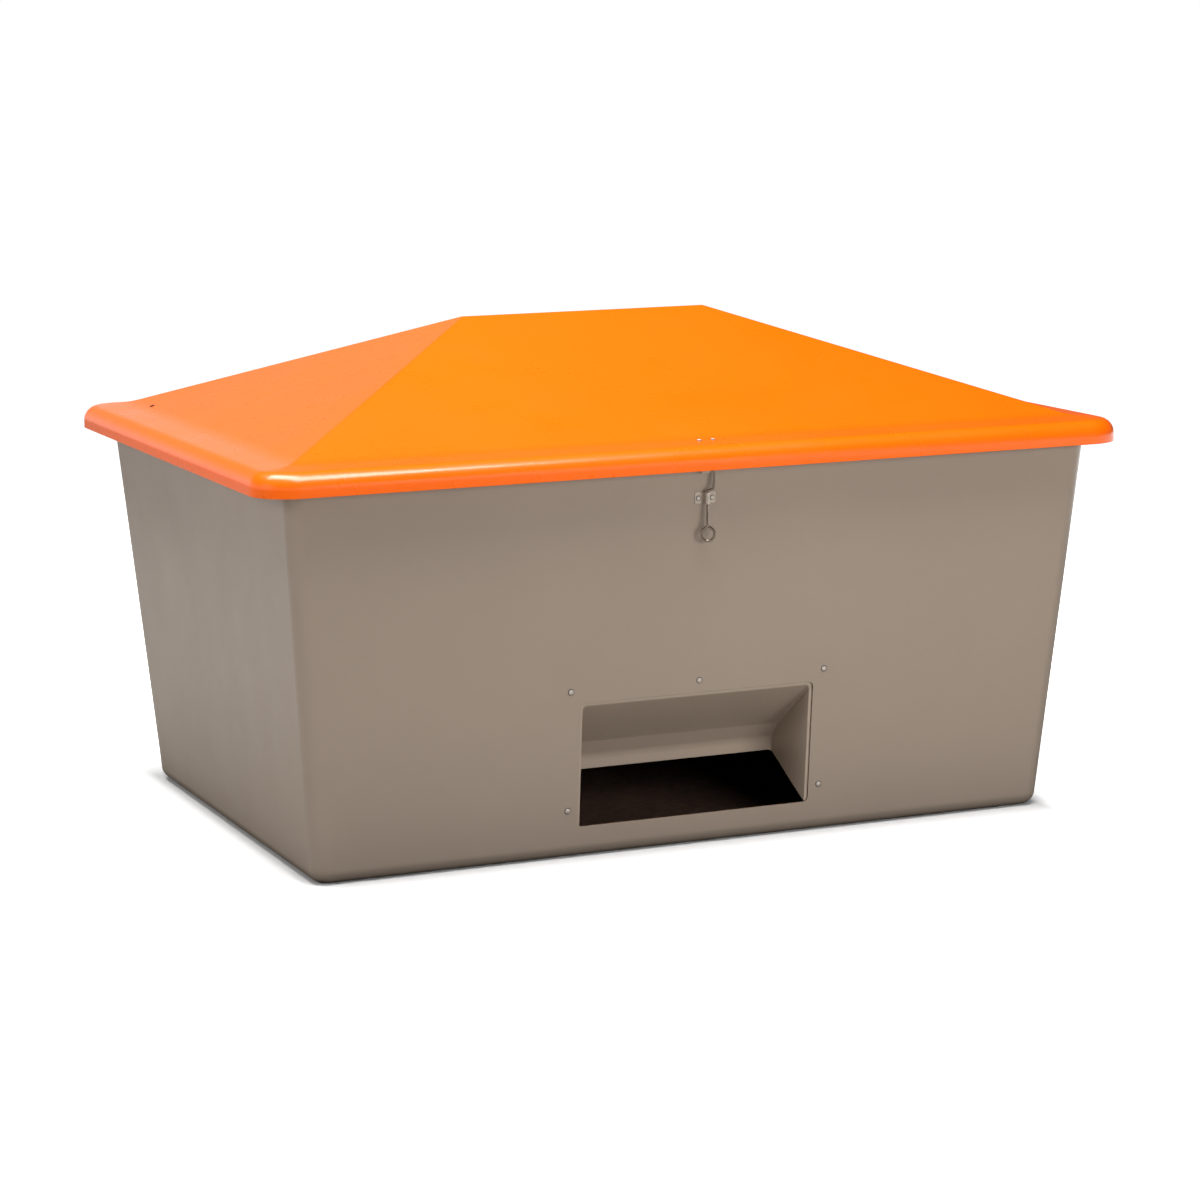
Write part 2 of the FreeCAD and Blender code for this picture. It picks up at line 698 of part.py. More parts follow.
def hinge_tub_leaf(x):
    """Tab under the flange, drop past the flange's edge, and a foot out to two knuckles."""
    edge = half_width(tub_height) + flange_width
    under = tub_height - flange_thickness
    drop_y = edge + hinge_leaf_gap
    x0, x1 = x - hinge_width / 2, x + hinge_width / 2
    tab = block(x0, x1, edge - hinge_tab, drop_y + hinge_plate, under - hinge_plate, under)
    foot_low = hinge_z - knuckle_radius
    fall = block(x0, x1, drop_y, drop_y + hinge_plate, foot_low, under)
    foot = block(x0, x1, drop_y, hinge_y, foot_low, foot_low + hinge_plate)
    relief = block(x - knuckle_third / 2, x + knuckle_third / 2, hinge_y - knuckle_radius - knuckle_relief,
                   hinge_y + over, foot_low - over, foot_low + hinge_plate + over)
    leaf = tab.fuse([fall, foot.cut(relief)])
    for a, b in ((x0, x - knuckle_third / 2), (x + knuckle_third / 2, x1)):
        leaf = leaf.fuse(rod(Vector(a, hinge_y, hinge_z), Vector(1, 0, 0), b - a, knuckle_radius))
    up = Vector(0, 0, 1)
    holes = [rivet_hole(Vector(x + side * hinge_rivet_pitch / 2, hinge_rivet_y, under), up, hinge_plate)
             for side in (-1, 1)]
    return leaf.removeSplitter().cut([pin_bore(x)] + holes)


def hinge_lid_leaf(x):
    """Plate on the back of the skirt with one knuckle between the tub leaf's two."""
    face = lid_width / 2
    x0, x1 = x - hinge_width / 2, x + hinge_width / 2
    half = knuckle_third / 2 - knuckle_gap
    plate = block(x0, x1, face, face + hinge_plate, skirt_leaf_low, skirt_leaf_low + skirt_leaf_height)
    neck = block(x - half, x + half, face, face + hinge_plate, hinge_z, skirt_leaf_low)
    barrel = rod(Vector(x - half, hinge_y, hinge_z), Vector(1, 0, 0), 2 * half, knuckle_radius)
    leaf = plate.fuse([neck, barrel]).removeSplitter()
    holes = [rivet_hole(Vector(x + side * hinge_rivet_pitch / 2, face + hinge_plate, skirt_rivet_z),
                        Vector(0, 1, 0), hinge_plate) for side in (-1, 1)]
    return leaf.cut([pin_bore(x)] + holes)


def hinge_pin(x):
    along = Vector(1, 0, 0)
    start = Vector(x - hinge_width / 2 - seat_gap, hinge_y, hinge_z)
    length = hinge_width + 2 * seat_gap
    shaft = rod(start, along, length, pin_radius)
    heads = [rod(start, along * -1, pin_head_height, pin_head_radius),
             rod(start + along * length, along, pin_head_height, pin_head_radius)]
    return shaft.fuse(heads).removeSplitter()


def hinge_tub_rivets():
    grip = flange_thickness + hinge_plate
    return [rivet(Vector(x, hinge_rivet_y, tub_height), Vector(0, 0, 1), grip, small_head_radius)
            for x in hinge_rivet_x]


def hinge_lid_rivets():
    seat_y = lid_width / 2 + hinge_plate
    grip = lid_wall + hinge_plate
    return [rivet(Vector(x, seat_y, skirt_rivet_z), Vector(0, 1, 0), grip, small_head_radius)
            for x in hinge_rivet_x]


# Gas struts

def end_roof(x, thick=0.0):
    """Height of the lid's end slope, outside or a thickness under it."""
    inset, foot = blend_points(thick)[-1]
    start = lid_length / 2 - inset
    slope = (ridge_height(thick) - foot) / (start - ridge_length / 2)
    return foot + (start - abs(x)) * slope


end_angle = math.atan(end_roof(lid_bolt_x) - end_roof(lid_bolt_x + 1))
end_grip = (end_roof(lid_bolt_x) - end_roof(lid_bolt_x, lid_wall)) * math.cos(end_angle) + bracket_plate


def lid_bolt_seat(side):
    out = Vector(side * math.sin(end_angle), 0, math.cos(end_angle))
    return Vector(side * lid_bolt_x, strut_anchor_y, end_roof(lid_bolt_x)), out


def strut_point(side, centre, x):
    return Vector(side * x, centre.y, centre.z)


ear_inner = strut_x + eye_thickness / 2 + bracket_gap
ear_outer = ear_inner + bracket_plate


def stud(side, centre):
    """The pin that an eye turns on, fixed in its bracket's ear."""
    inwards = Vector(-side, 0, 0)
    clip_x = strut_x - eye_thickness / 2 - seat_gap
    shaft = rod(strut_point(side, centre, ear_outer), inwards, ear_outer - clip_x, stud_radius)
    back = rod(strut_point(side, centre, ear_outer), inwards * -1, stud_head_height, stud_head_radius)
    clip = rod(strut_point(side, centre, clip_x), inwards, stud_head_height, stud_head_radius)
    collar = rod(strut_point(side, centre, ear_inner), inwards, bracket_gap - seat_gap, stud_head_radius)
    return shaft.fuse([back, clip, collar]).removeSplitter()


def stud_hole(side, centre):
    start = strut_point(side, centre, ear_inner - over)
    return rod(start, Vector(side, 0, 0), bracket_plate + 2 * over, stud_radius + hole_clearance)


def mirrored(shape, side):
    return shape if side > 0 else shape.mirror(Vector(0, 0, 0), Vector(1, 0, 0))


def strut_tub_bracket(side):
    """A foot on the back wall's inside and an ear that holds the lower stud."""
    z0 = strut_foot.z - bracket_length / 2
    z1 = strut_foot.z + bracket_length / 2
    run = bracket_plate / math.cos(math.radians(side_lean))

    def inside(z, depth):
        return (half_width(z) - wall_run - depth, z)
    section = [inside(z0, 0), inside(z1, 0), inside(z1, run), inside(z0, run)]
    foot = prism_x(section, ear_outer - bracket_foot, ear_outer)
    tip_low = strut_foot.z - bracket_ear_radius
    tip_top = strut_foot.z + bracket_ear_radius
    ear = prism_x([inside(z0, 0), inside(z1 - bracket_shoulder, 0), (strut_foot.y, tip_top),
                   (strut_foot.y, tip_low)], ear_inner, ear_outer)
    tip = rod(Vector(ear_inner, strut_foot.y, strut_foot.z), Vector(1, 0, 0), bracket_plate, bracket_ear_radius)
    bracket = mirrored(foot.fuse([ear, tip]).removeSplitter(), side)
    holes = [bolt_hole(rear_wall(x, z), rear_out, wall + bracket_plate)
             for x, z in strut_bolt_places if x * side > 0]
    return bracket.cut([stud_hole(side, strut_foot)] + holes)


def bolt(seat, outwards, grip):
    """A round-head bolt from outside with its hexagon nut inside."""
    turns = [math.radians(60 * k) for k in range(7)]
    corners = [Vector(bolt_head_radius * math.cos(turn), bolt_head_radius * math.sin(turn), -grip - nut_height)
               for turn in turns]
    nut = Part.Face(Part.makePolygon(corners)).extrude(Vector(0, 0, nut_height))
    screw = turned([(0, -grip - nut_height / 2), (bolt_radius, -grip - nut_height / 2), (bolt_radius, 0),
                    (bolt_head_radius, 0), (bolt_head_radius, head_edge)], Vector(0, 0, 0), Vector(0, 0, 1))
    body = screw.fuse(nut).removeSplitter()
    body.Placement = FreeCAD.Placement(seat, FreeCAD.Rotation(Vector(0, 0, 1), outwards))
    return body


def strut_tub_bolts():
    return [bolt(rear_wall(x, z), rear_out, wall + bracket_plate) for x, z in strut_bolt_places]


def strut_lid_bracket(side):
    """A foot under the end slope of the roof and an ear down to the upper stud."""
    plate = bracket_plate / math.cos(end_angle)
    x0 = ear_outer - lid_bracket_foot
    x1 = lid_bolt_x + bolt_head_radius
    y0 = strut_anchor_y - bracket_length / 2
    z0, z1 = end_roof(x0, lid_wall), end_roof(x1, lid_wall)
    corners = [Vector(x0, y0, z0), Vector(x1, y0, z1), Vector(x1, y0, z1 - plate), Vector(x0, y0, z0 - plate)]
    foot = Part.Face(Part.makePolygon(corners + corners[:1])).extrude(Vector(0, bracket_length, 0))
    top = end_roof(ear_outer, lid_wall) - plate / 2
    r = bracket_ear_radius
    ear = prism_x([(strut_anchor_y - r, strut_top.z), (strut_anchor_y + r, strut_top.z),
                   (strut_anchor_y + bracket_length / 2, top), (strut_anchor_y - bracket_length / 2, top)],
                  ear_inner, ear_outer)
    tip = rod(Vector(ear_inner, strut_top.y, strut_top.z), Vector(1, 0, 0), bracket_plate, r)
    bracket = mirrored(foot.fuse([ear, tip]).removeSplitter(), side)
    seat, out = lid_bolt_seat(side)
    return bracket.cut([stud_hole(side, strut_top), bolt_hole(seat, out, end_grip)])


def strut_lid_bolts():
    bolts = []
    for side in (-1, 1):
        seat, out = lid_bolt_seat(side)
        bolts.append(bolt(seat, out, end_grip))
    return bolts


def strut_eye(side, centre, direction):
    """A flat eye on a short neck, ready to screw on to the end of a strut."""
    x0 = side * strut_x - eye_thickness / 2
    ring = rod(Vector(x0, centre.y, centre.z), Vector(1, 0, 0), eye_thickness, eye_radius)
    start = stud_head_radius + knuckle_gap
    neck_start = strut_point(side, centre, strut_x) + direction * start
    neck = rod(neck_start, direction, strut_end - start, strut_neck_radius)
    bore_start = Vector(x0 - over, centre.y, centre.z)
    bore = rod(bore_start, Vector(1, 0, 0), eye_thickness + 2 * over, stud_radius + running_fit)
    return ring.fuse(neck).removeSplitter().cut(bore)


cylinder_length = strut_closed - 2 * strut_end - gland_cap - rod_showing
tube_bore = strut_cylinder_radius - strut_tube_wall


def strut_at(side, distance):
    """A point on a strut's own line, measured from its foot."""
    return strut_point(side, strut_foot, strut_x) + strut_line * distance


def strut_cylinder(side):
    tube = rod(strut_at(side, strut_end), strut_line, cylinder_length, strut_cylinder_radius)
    floor = 2 * strut_tube_wall
    return tube.cut(rod(strut_at(side, strut_end + floor), strut_line, cylinder_length, tube_bore))


def strut_gland(side):
    end = strut_end + cylinder_length
    bush = rod(strut_at(side, end - gland_length), strut_line, gland_length, tube_bore - hole_clearance)
    cap = rod(strut_at(side, end), strut_line, gland_cap, strut_cylinder_radius)
    bore = rod(strut_at(side, end - gland_length - over), strut_line, gland_length + gland_cap + 2 * over,
               strut_rod_radius + rod_clearance)
    return bush.fuse(cap).cut(bore)


piston_start = strut_end + 2 * strut_tube_wall + piston_rest


def strut_rod(side):
    length = strut_closed - strut_end - piston_start
    return rod(strut_at(side, piston_start), strut_line, length, strut_rod_radius)


def strut_piston(side):
    disc = rod(strut_at(side, piston_start), strut_line, piston_length, tube_bore - piston_clearance)
    bore = rod(strut_at(side, piston_start - over), strut_line, piston_length + 2 * over,
               strut_rod_radius + hole_clearance)
    return disc.cut(bore)


# Every sub-part, by name

parts = {
    "tub_shell": tub_shell,
    "chute_hood": chute_hood,
    "chute_rivets": chute_rivets,
    "rim_seal": rim_seal,
    "latch_saddle": latch_saddle,
    "saddle_rivets": saddle_rivets,
    "latch_hook": latch_hook,
    "latch_keeper": latch_keeper,
    "keeper_rivets": keeper_rivets,
    "lid_shell": lid_shell,
    "hinge_tub_rivets": hinge_tub_rivets,
    "hinge_lid_rivets": hinge_lid_rivets,
    "strut_tub_bolts": strut_tub_bolts,
    "strut_lid_bolts": strut_lid_bolts,
}
for place, x in hinge_places.items():
    parts["hinge_tub_leaf_" + place] = lambda x=x: hinge_tub_leaf(x)
    parts["hinge_lid_leaf_" + place] = lambda x=x: hinge_lid_leaf(x)
    parts["hinge_pin_" + place] = lambda x=x: hinge_pin(x)
for place, side in (("left", -1), ("right", 1)):
    parts["strut_tub_bracket_" + place] = lambda s=side: strut_tub_bracket(s)
    parts["strut_tub_stud_" + place] = lambda s=side: stud(s, strut_foot)
    parts["strut_lid_bracket_" + place] = lambda s=side: strut_lid_bracket(s)
    parts["strut_lid_stud_" + place] = lambda s=side: stud(s, strut_top)
    parts["strut_lower_eye_" + place] = lambda s=side: strut_eye(s, strut_foot, strut_line)
    parts["strut_cylinder_" + place] = lambda s=side: strut_cylinder(s)
    parts["strut_gland_" + place] = lambda s=side: strut_gland(s)
    parts["strut_upper_eye_" + place] = lambda s=side: strut_eye(s, strut_top, strut_line * -1)
    parts["strut_rod_" + place] = lambda s=side: strut_rod(s)
    parts["strut_piston_" + place] = lambda s=side: strut_piston(s)

os.makedirs("parts", exist_ok=True)
for name, make in parts.items():
    shape = make()
    if isinstance(shape, list):
        shape = Part.makeCompound(shape)
    shape.exportStep("parts/" + name + ".step")
    box = shape.BoundBox
    print("%-26s solids %d valid %s volume %.1f box %s" % (
        name, len(shape.Solids), shape.isValid(), shape.Volume,
        " ".join("%.1f" % v for v in (box.XMin, box.XMax, box.YMin, box.YMax, box.ZMin, box.ZMax))))
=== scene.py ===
import json
import math

import bmesh
import bpy
from bpy.props import FloatProperty, FloatVectorProperty, IntProperty, PointerProperty
from bpy.types import Operator, Panel, PropertyGroup
from mathutils import Matrix, Vector

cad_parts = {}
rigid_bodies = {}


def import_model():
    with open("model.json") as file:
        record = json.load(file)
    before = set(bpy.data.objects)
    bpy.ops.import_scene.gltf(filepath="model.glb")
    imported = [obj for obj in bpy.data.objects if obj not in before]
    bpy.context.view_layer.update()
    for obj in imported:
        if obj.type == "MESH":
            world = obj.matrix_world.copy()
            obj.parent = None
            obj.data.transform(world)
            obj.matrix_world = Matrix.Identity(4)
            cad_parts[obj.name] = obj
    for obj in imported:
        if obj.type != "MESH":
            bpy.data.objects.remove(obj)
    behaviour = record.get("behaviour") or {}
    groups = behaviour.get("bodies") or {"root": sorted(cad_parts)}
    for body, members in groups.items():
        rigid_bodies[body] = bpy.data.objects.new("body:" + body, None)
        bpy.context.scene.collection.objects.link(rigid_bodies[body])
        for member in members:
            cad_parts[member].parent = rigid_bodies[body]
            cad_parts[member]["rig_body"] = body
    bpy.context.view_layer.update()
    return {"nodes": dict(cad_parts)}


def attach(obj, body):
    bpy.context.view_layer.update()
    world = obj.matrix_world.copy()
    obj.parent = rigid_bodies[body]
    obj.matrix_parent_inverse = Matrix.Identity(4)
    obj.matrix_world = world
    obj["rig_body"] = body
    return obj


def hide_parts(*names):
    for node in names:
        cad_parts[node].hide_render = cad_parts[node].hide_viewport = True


bl_info = {
    "name": "Grit Bin",
    "version": (1, 0, 0),
    "blender": (4, 5, 0),
    "location": "3D View > Sidebar > Grit Bin",
    "description": "Dresses the packed solids of a glass-fibre grit bin",
    "category": "Object",
}

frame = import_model()
NODE_SLOTS = {name: node.data.materials[0].name for name, node in frame["nodes"].items()}

# Tests on faces and points, in metres and square metres
FACING = 0.9            # a normal with more than this along an axis looks that way
SAME_PLACE = 1e-6       # vertices nearer than this are one
ON_IT = 1e-4            # a point nearer than this lies on a line or wall
MARGIN = 0.001          # a face this far beyond a height or wall still counts
WALL_AREA = 0.03        # faces of the front wall are larger than this

# Facets and the angles in degrees between them
ARC_STEP = 10           # between the outlines of a rounded edge
TUB_CORNER_STEPS = 10
MOUTH_CORNER_STEPS = 8
LID_CORNER_STEPS = 12
HOLLOW_STEPS = 8        # across the hollow at the foot of the roof
FOLD_STEPS = 6
CHEEK_STEPS = 5
HOOD_EDGE_STEPS = 4
DOME_STEPS = 8
RING_STEPS = 26
BEND_STEP = 12          # between two sections of the wire in a bend
SOFT_ANGLE = 35.0       # edges sharper than this are softened
PLATE_ANGLE = 30.0      # edges of plates sharper than this are shaded so
RIVET_ANGLE = 40.0      # edges of rivets sharper than this are shaded so
FLAT_ANGLE = 0.5        # triangles nearer to one plane than this are merged
CHEEK_ANGLE = 60.0      # the hood's cheeks meet its roof at more

RIDGE_CORNER = 0.4      # rounding of the ridge's ends as a share of its width
SENSOR_WIDTH = 36.0
FLOOR_REACH = 14.0      # from the middle of the floor to each side
WHITE = (1.0, 1.0, 1.0, 1.0)


def length(name, description, default):
    return FloatProperty(name=name, description=description, default=default, unit="LENGTH", precision=4)


def number(name, description, default):
    return FloatProperty(name=name, description=description, default=default, precision=3)


def lean(name, description, degrees):
    return FloatProperty(name=name, description=description, default=math.radians(degrees), subtype="ANGLE")


def colour(name, description, red, green, blue):
    return FloatVectorProperty(name=name, description=description, default=(red, green, blue),
                               subtype="COLOR", min=0.0, max=1.0)


# Sizes and colours that a user may change

class TubSizes(PropertyGroup):
    base_length: length("Base length", "Outside length at the ground, without the rounding", 1.840)
    base_width: length("Base width", "Outside width at the ground, without the rounding", 1.225)
    end_lean: lean("End lean", "How far the end walls lean outwards", 4.5)
    side_lean: lean("Side lean", "How far the front and back walls lean outwards", 5.8)
    height: length("Height", "From the ground to the top of the flange", 0.931)
    wall: length("Wall", "Thickness of the laminate", 0.005)
    corner_radius: length("Corner radius", "Rounding of the upright corners", 0.040)
    base_radius: length("Base radius", "Rounding between the walls and the base", 0.034)
    flange_width: length("Flange width", "From the wall out to the flange's edge", 0.033)
    notch_left: length("Notch left", "Left side of the keeper's gap in the flange", -0.0304)
    notch_right: length("Notch right", "Right side of the keeper's gap in the flange", 0.0456)
    mouth_width: length("Mouth width", "Width of the dispensing mouth", 0.584)
    mouth_sill: length("Mouth sill", "Height of the mouth's lower edge", 0.073)
    mouth_head: length("Mouth head", "Height of the mouth's upper edge", 0.364)
    mouth_corner: length("Mouth corner", "Rounding of the mouth's corners", 0.012)
    soft_edge: length("Soft edge", "Width of the tub's softened edges", 0.0008)


class HoodSizes(PropertyGroup):
    wall: length("Wall", "Thickness of the hood's laminate", 0.004)
    inset: length("Inset", "From the mouth's edge in to the hood", 0.007)
    depth: length("Depth", "From the mouth's head back to the fold", 0.163)
    fall: length("Fall", "From the mouth's head down to the fold", 0.120)
    throat_depth: length("Throat depth", "From the fold back to the throat", 0.033)
    throat_fall: length("Throat fall", "From the fold down to the throat", 0.042)
    lip_drop: length("Lip drop", "From the throat down to the free lip", 0.029)
    lip_return: length("Lip return", "How far the lip comes forward", 0.003)
    draft: length("Draft", "How far each cheek leans in over the depth", 0.006)
    flange: length("Flange", "Width of the flange behind the wall", 0.048)
    fold_round: length("Fold rounding", "Setback of the soft fold in the roof", 0.004)
    throat_round: length("Throat rounding", "Setback of the soft bend above the lip", 0.011)
    cheek_round: length("Cheek rounding", "Rounding between the roof and the cheeks", 0.008)
    edge_round: length("Edge rounding", "Rounding between the flange and the hood", 0.003)
    soft_edge: length("Soft edge", "Width of the hood's softened edges", 0.0006)


class LidSizes(PropertyGroup):
    length: length("Length", "Overall length of the lid", 2.130)
    width: length("Width", "Overall width of the lid", 1.520)
    wall: length("Wall", "Thickness of the laminate", 0.005)
    skirt_bottom: length("Skirt bottom", "Height of the skirt's lower edge", 0.890)
    edge_height: length("Edge height", "Height of the rim's upper edge", 0.9443)
    corner_radius: length("Corner radius", "Rounding of the lid's corners", 0.092)
    rim_round: length("Rim rounding", "Rounding from the skirt into the band", 0.036)
    band_width: length("Band width", "From the rim to the foot of the roof", 0.104)
    band_rise: length("Band rise", "Rise of the band to the foot of the roof", 0.007)
    roof_rise: length("Roof rise", "From the foot of the roof to the ridge", 0.236)
    ridge_length: length("Ridge length", "Length of the ridge", 0.632)
    ridge_flat: length("Ridge flat", "Width of the ridge itself", 0.005)
    foot_blend: length("Foot blend", "Radius of the hollow at the foot of the roof", 0.190)
    hip_round: length("Hip rounding", "Rounding of the four hips", 0.009)
    soft_edge: length("Soft edge", "Width of the lid's softened edges", 0.001)


class FixingSizes(PropertyGroup):
    head_radius: length("Head radius", "Rivets round the mouth", 0.0075)
    small_head_radius: length("Small head radius", "Rivets of the latch and hinges", 0.006)
    shank_radius: length("Shank radius", "Shank of every rivet", 0.0032)
    tail_radius: length("Tail radius", "Set head inside", 0.0055)
    tail_height: length("Tail height", "Set head inside", 0.002)
    head_edge: length("Head edge", "Upright rim under a dome", 0.0007)
    dome_share: number("Dome", "Height of a dome as a share of its radius", 0.3)
    # the ring of each head beyond this share is painted dark: painted shade at the rim
    rim_shade_share: number("Edge share", "Where a head's dulled edge starts", 0.78)
    mouth_out: length("Mouth rivets out", "Beyond the mouth's side", 0.026)
    mouth_above: length("Mouth rivets above", "Above the mouth's head", 0.030)
    mouth_low: length("Mouth rivets low", "Above the mouth's sill", 0.041)
    saddle_height: length("Saddle height", "Middle of the latch's saddle", 0.821)
    saddle_plate: length("Saddle plate", "Thickness of the saddle", 0.002)
    pitch: length("Pitch", "Between the two rivets of saddle or keeper", 0.034)
    keeper_x: length("Keeper place", "Sideways place of the keeper", 0.0076)
    keeper_plate: length("Keeper plate", "Thickness of the keeper", 0.003)
    keeper_inset: length("Keeper inset", "From the lid's front edge to the keeper's rivets", 0.081)
    soft_edge: length("Soft edge", "Width of the rivets' softened edges", 0.0003)
    plate_edge: length("Plate edge", "Width of the plates' softened edges", 0.0005)
    turn_steps: IntProperty(name="Turn steps", description="Facets round a rivet", default=32, min=3)


class LatchSizes(PropertyGroup):
    axis_x: length("Axis x", "Sideways place of the turning axis", -0.004)
    axis_y: length("Axis y", "Place of the axis from front to back", -0.710294)
    turned_out: lean("Turned out", "The wire's plane turned out from the wall at rest", 20.0)
    wire_radius: length("Wire radius", "Half of the wire's thickness", 0.0032)
    ring_radius: length("Ring radius", "From the ring's centre to the middle of the wire", 0.0152)
    ring_height: length("Ring height", "Height of the ring's centre", 0.739)
    ring_join: lean("Ring join", "From the ring's top to the neck on each side", 38.0)
    end_gap: length("End gap", "From the wire's end to the corner of the neck", 0.003)
    neck_bend: length("Neck bend", "Rounding of the neck above the ring", 0.011)
    foot_height: length("Foot height", "Height of the first bend, above the saddle", 0.8375)
    foot_out: length("Foot out", "From the axis to the end of the first bend's run", 0.013)
    foot_rise: length("Foot rise", "How much that run rises", 0.005)
    bulge_out: length("Bulge out", "From the axis to the widest place of the hook", 0.016)
    bulge_height: length("Bulge height", "Height of the widest place", 0.871)
    bulge_bend: length("Bulge bend", "Rounding at the widest place", 0.025)
    crown_out: length("Crown out", "From the axis to the start of the crown", 0.0125)
    crown_height: length("Crown height", "Height of the crown", 0.900)
    tip_drop: length("Tip drop", "The wire's end below the crown", 0.001)
    foot_bend: length("Foot bend", "Rounding of the two lower bends", 0.0045)
    crown_bend: length("Crown bend", "Rounding of the crown", 0.007)
    soft_edge: length("Soft edge", "Width of the wire's softened edges", 0.0006)
    wire_sides: IntProperty(name="Wire sides", description="Facets round the wire", default=16, min=3)


class Finish(PropertyGroup):
    tub: colour("Tub", "Stone-grey gelcoat", 0.33, 0.262, 0.208)
    hood: colour("Hood", "Stone-grey gelcoat of the hood and paint of the keeper", 0.42, 0.335, 0.265)
    laminate: colour("Laminate", "Bare glass-fibre inside the tub", 0.14, 0.085, 0.062)
    lid: colour("Lid", "Orange gelcoat", 0.93, 0.13, 0.001)
    lid_inside: colour("Lid inside", "Bare glass-fibre under the lid", 0.78, 0.20, 0.02)
    stainless: colour("Stainless steel", "Saddle, hinges and brackets", 0.66, 0.57, 0.49)
    wire: colour("Wire", "Latch wire", 0.48, 0.39, 0.32)
    aluminium: colour("Aluminium", "Rivets", 0.74, 0.66, 0.59)
    rubber: colour("Rubber", "Rim seal", 0.018, 0.018, 0.019)
    black: colour("Black paint", "Gas-strut cylinders", 0.022, 0.022, 0.024)
    # the bolts' own dark steel, and also the painted shade at the rims of the rivet heads
    dark_steel_and_rim_shade: colour("Dark steel", "Bolts and dulled edges of rivets", 0.09, 0.085, 0.08)
    chrome: colour("Chrome", "Gas-strut rods", 0.72, 0.72, 0.73)
    plastic: colour("Plastic", "Gas-strut pistons", 0.55, 0.54, 0.50)


class StageSettings(PropertyGroup):
    camera_place: FloatVectorProperty(name="Camera place", description="Where the camera stands",
                                      default=(-3.2488, -7.6712, 1.9304), subtype="TRANSLATION")
    heading: lean("Heading", "Camera turned to the right", 23.172)
    tilt: lean("Tilt", "Camera tilted down", 9.894)
    roll: lean("Roll", "Camera rolled about its own axis", -0.592)
    focal_length: number("Focal length", "Millimetres on a 36 mm sensor", 103.547)
    key_power: number("Key power", "Watts of the large lamp overhead", 468.0)
    fill_power: number("Fill power", "Watts of the lamp in front", 74.0)
    side_power: number("Side power", "Watts of the lamp at the left end", 98.0)
    back_power: number("Back power", "Watts of the lamp behind", 60.0)
    sky: number("Sky", "Strength of the surroundings", 0.08)
    floor: colour("Floor", "Pale studio floor", 0.80, 0.80, 0.80)
    floor_bounce: colour("Floor bounce", "The floor as the bin sees it", 0.27, 0.26, 0.243)
    # the floor throws back less light onto the bin than the camera sees, and almost none right beside it:
    # painted shade on the bin's lower faces and base
    floor_shade_near: colour("Floor near", "The same floor right beside the bin", 0.06, 0.058, 0.055)
    near_shade_width: length("Near width", "Distance from the bin where the darker floor ends", 0.3)
    # where the floor's white glow comes in: the darker band beside the bin is partly its real shadow and
    # partly painted shade where the glow is left out
    shadow_start: length("Shadow start", "Distance from the bin where its shadow fades", 0.01)
    shadow_end: length("Shadow end", "Distance in front of the bin where it ends", 0.28)
    shadow_slant: number("Shadow slant", "How much sooner the shadow fades at the ends", 3.5)
    # the floor glows in reflections only, behind the bin and far to its right: painted reflections on the
    # bin's glossy faces
    glow_behind: number("Glow behind", "The floor behind the bin in reflections", 0.26)
    glow_beside: number("Glow beside", "The floor far to the right in reflections", 1.7)
    panel_low: number("Panel low", "The surroundings near the horizon in reflections", 0.74)
    panel_high: number("Panel high", "The surroundings higher up in reflections", 0.035)
    panel_right: number("Panel right", "Share of the reflected surroundings left at the right", 0.12)


# Meshes

def half_length(z):
    tub = bpy.context.scene.grit_tub
    return tub.base_length / 2 + z * math.tan(tub.end_lean)


def half_width(z):
    tub = bpy.context.scene.grit_tub
    return tub.base_width / 2 + z * math.tan(tub.side_lean)


def wall_normal():
    """The way that the front wall looks."""
    lean_angle = bpy.context.scene.grit_tub.side_lean
    return Vector((0.0, -math.cos(lean_angle), -math.sin(lean_angle)))


def middle(face):
    return face.calc_center_median()


def ends_of(edges):
    return list({vert for edge in edges for vert in edge.verts})


def verts_in(geom):
    return [part for part in geom if isinstance(part, bmesh.types.BMVert)]


def round_off(bm, geom, radius, segments, affect="EDGES"):
    bmesh.ops.bevel(bm, geom=geom, offset=radius, offset_type="OFFSET", affect=affect, segments=segments,
                    profile=0.5, material=-1)


def outline(bm, half_x, half_y, radius, z, segments):
    """Adds the edges of a level rectangle with round corners and returns them."""
    known = set(bm.edges)
    corners = bmesh.ops.create_grid(bm, x_segments=1, y_segments=1, size=1.0)["verts"]
    bmesh.ops.scale(bm, vec=(half_x, half_y, 1.0), verts=corners)
    bmesh.ops.translate(bm, vec=(0.0, 0.0, z), verts=corners)
    round_off(bm, corners, radius, segments, "VERTICES")
    edges = [edge for edge in bm.edges if edge not in known]
    faces = list({face for edge in edges for face in edge.link_faces})
    bmesh.ops.delete(bm, geom=faces, context="FACES_ONLY")
    return edges


def bridged(bm, outlines):
    """Joins each outline to the next with a band of faces."""
    for low, high in zip(outlines, outlines[1:]):
        bmesh.ops.bridge_loops(bm, edges=low + high)


def turn_outward(bm, face, way):
    """Makes all faces agree, with the given face looking the given way."""
    bmesh.ops.recalc_face_normals(bm, faces=bm.faces)
    if face.normal.dot(way) < 0.0:
        bmesh.ops.reverse_faces(bm, faces=bm.faces)


def faces_where(bm, test):
    return [face for face in bm.faces if test(face)]


def add_piece(name, bm, body, nodes, materials):
    """A piece from a bmesh: smooth, riding on its body, in the place of its CAD nodes."""
    mesh = bpy.data.meshes.new(name)
    bm.to_mesh(mesh)
    bm.free()
    mesh.shade_smooth()
    piece = bpy.data.objects.new(name, mesh)
    bpy.context.scene.collection.objects.link(piece)
    for material in materials:
        mesh.materials.append(bpy.data.materials[material])
    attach(piece, body)
    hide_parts(*nodes)
    return piece


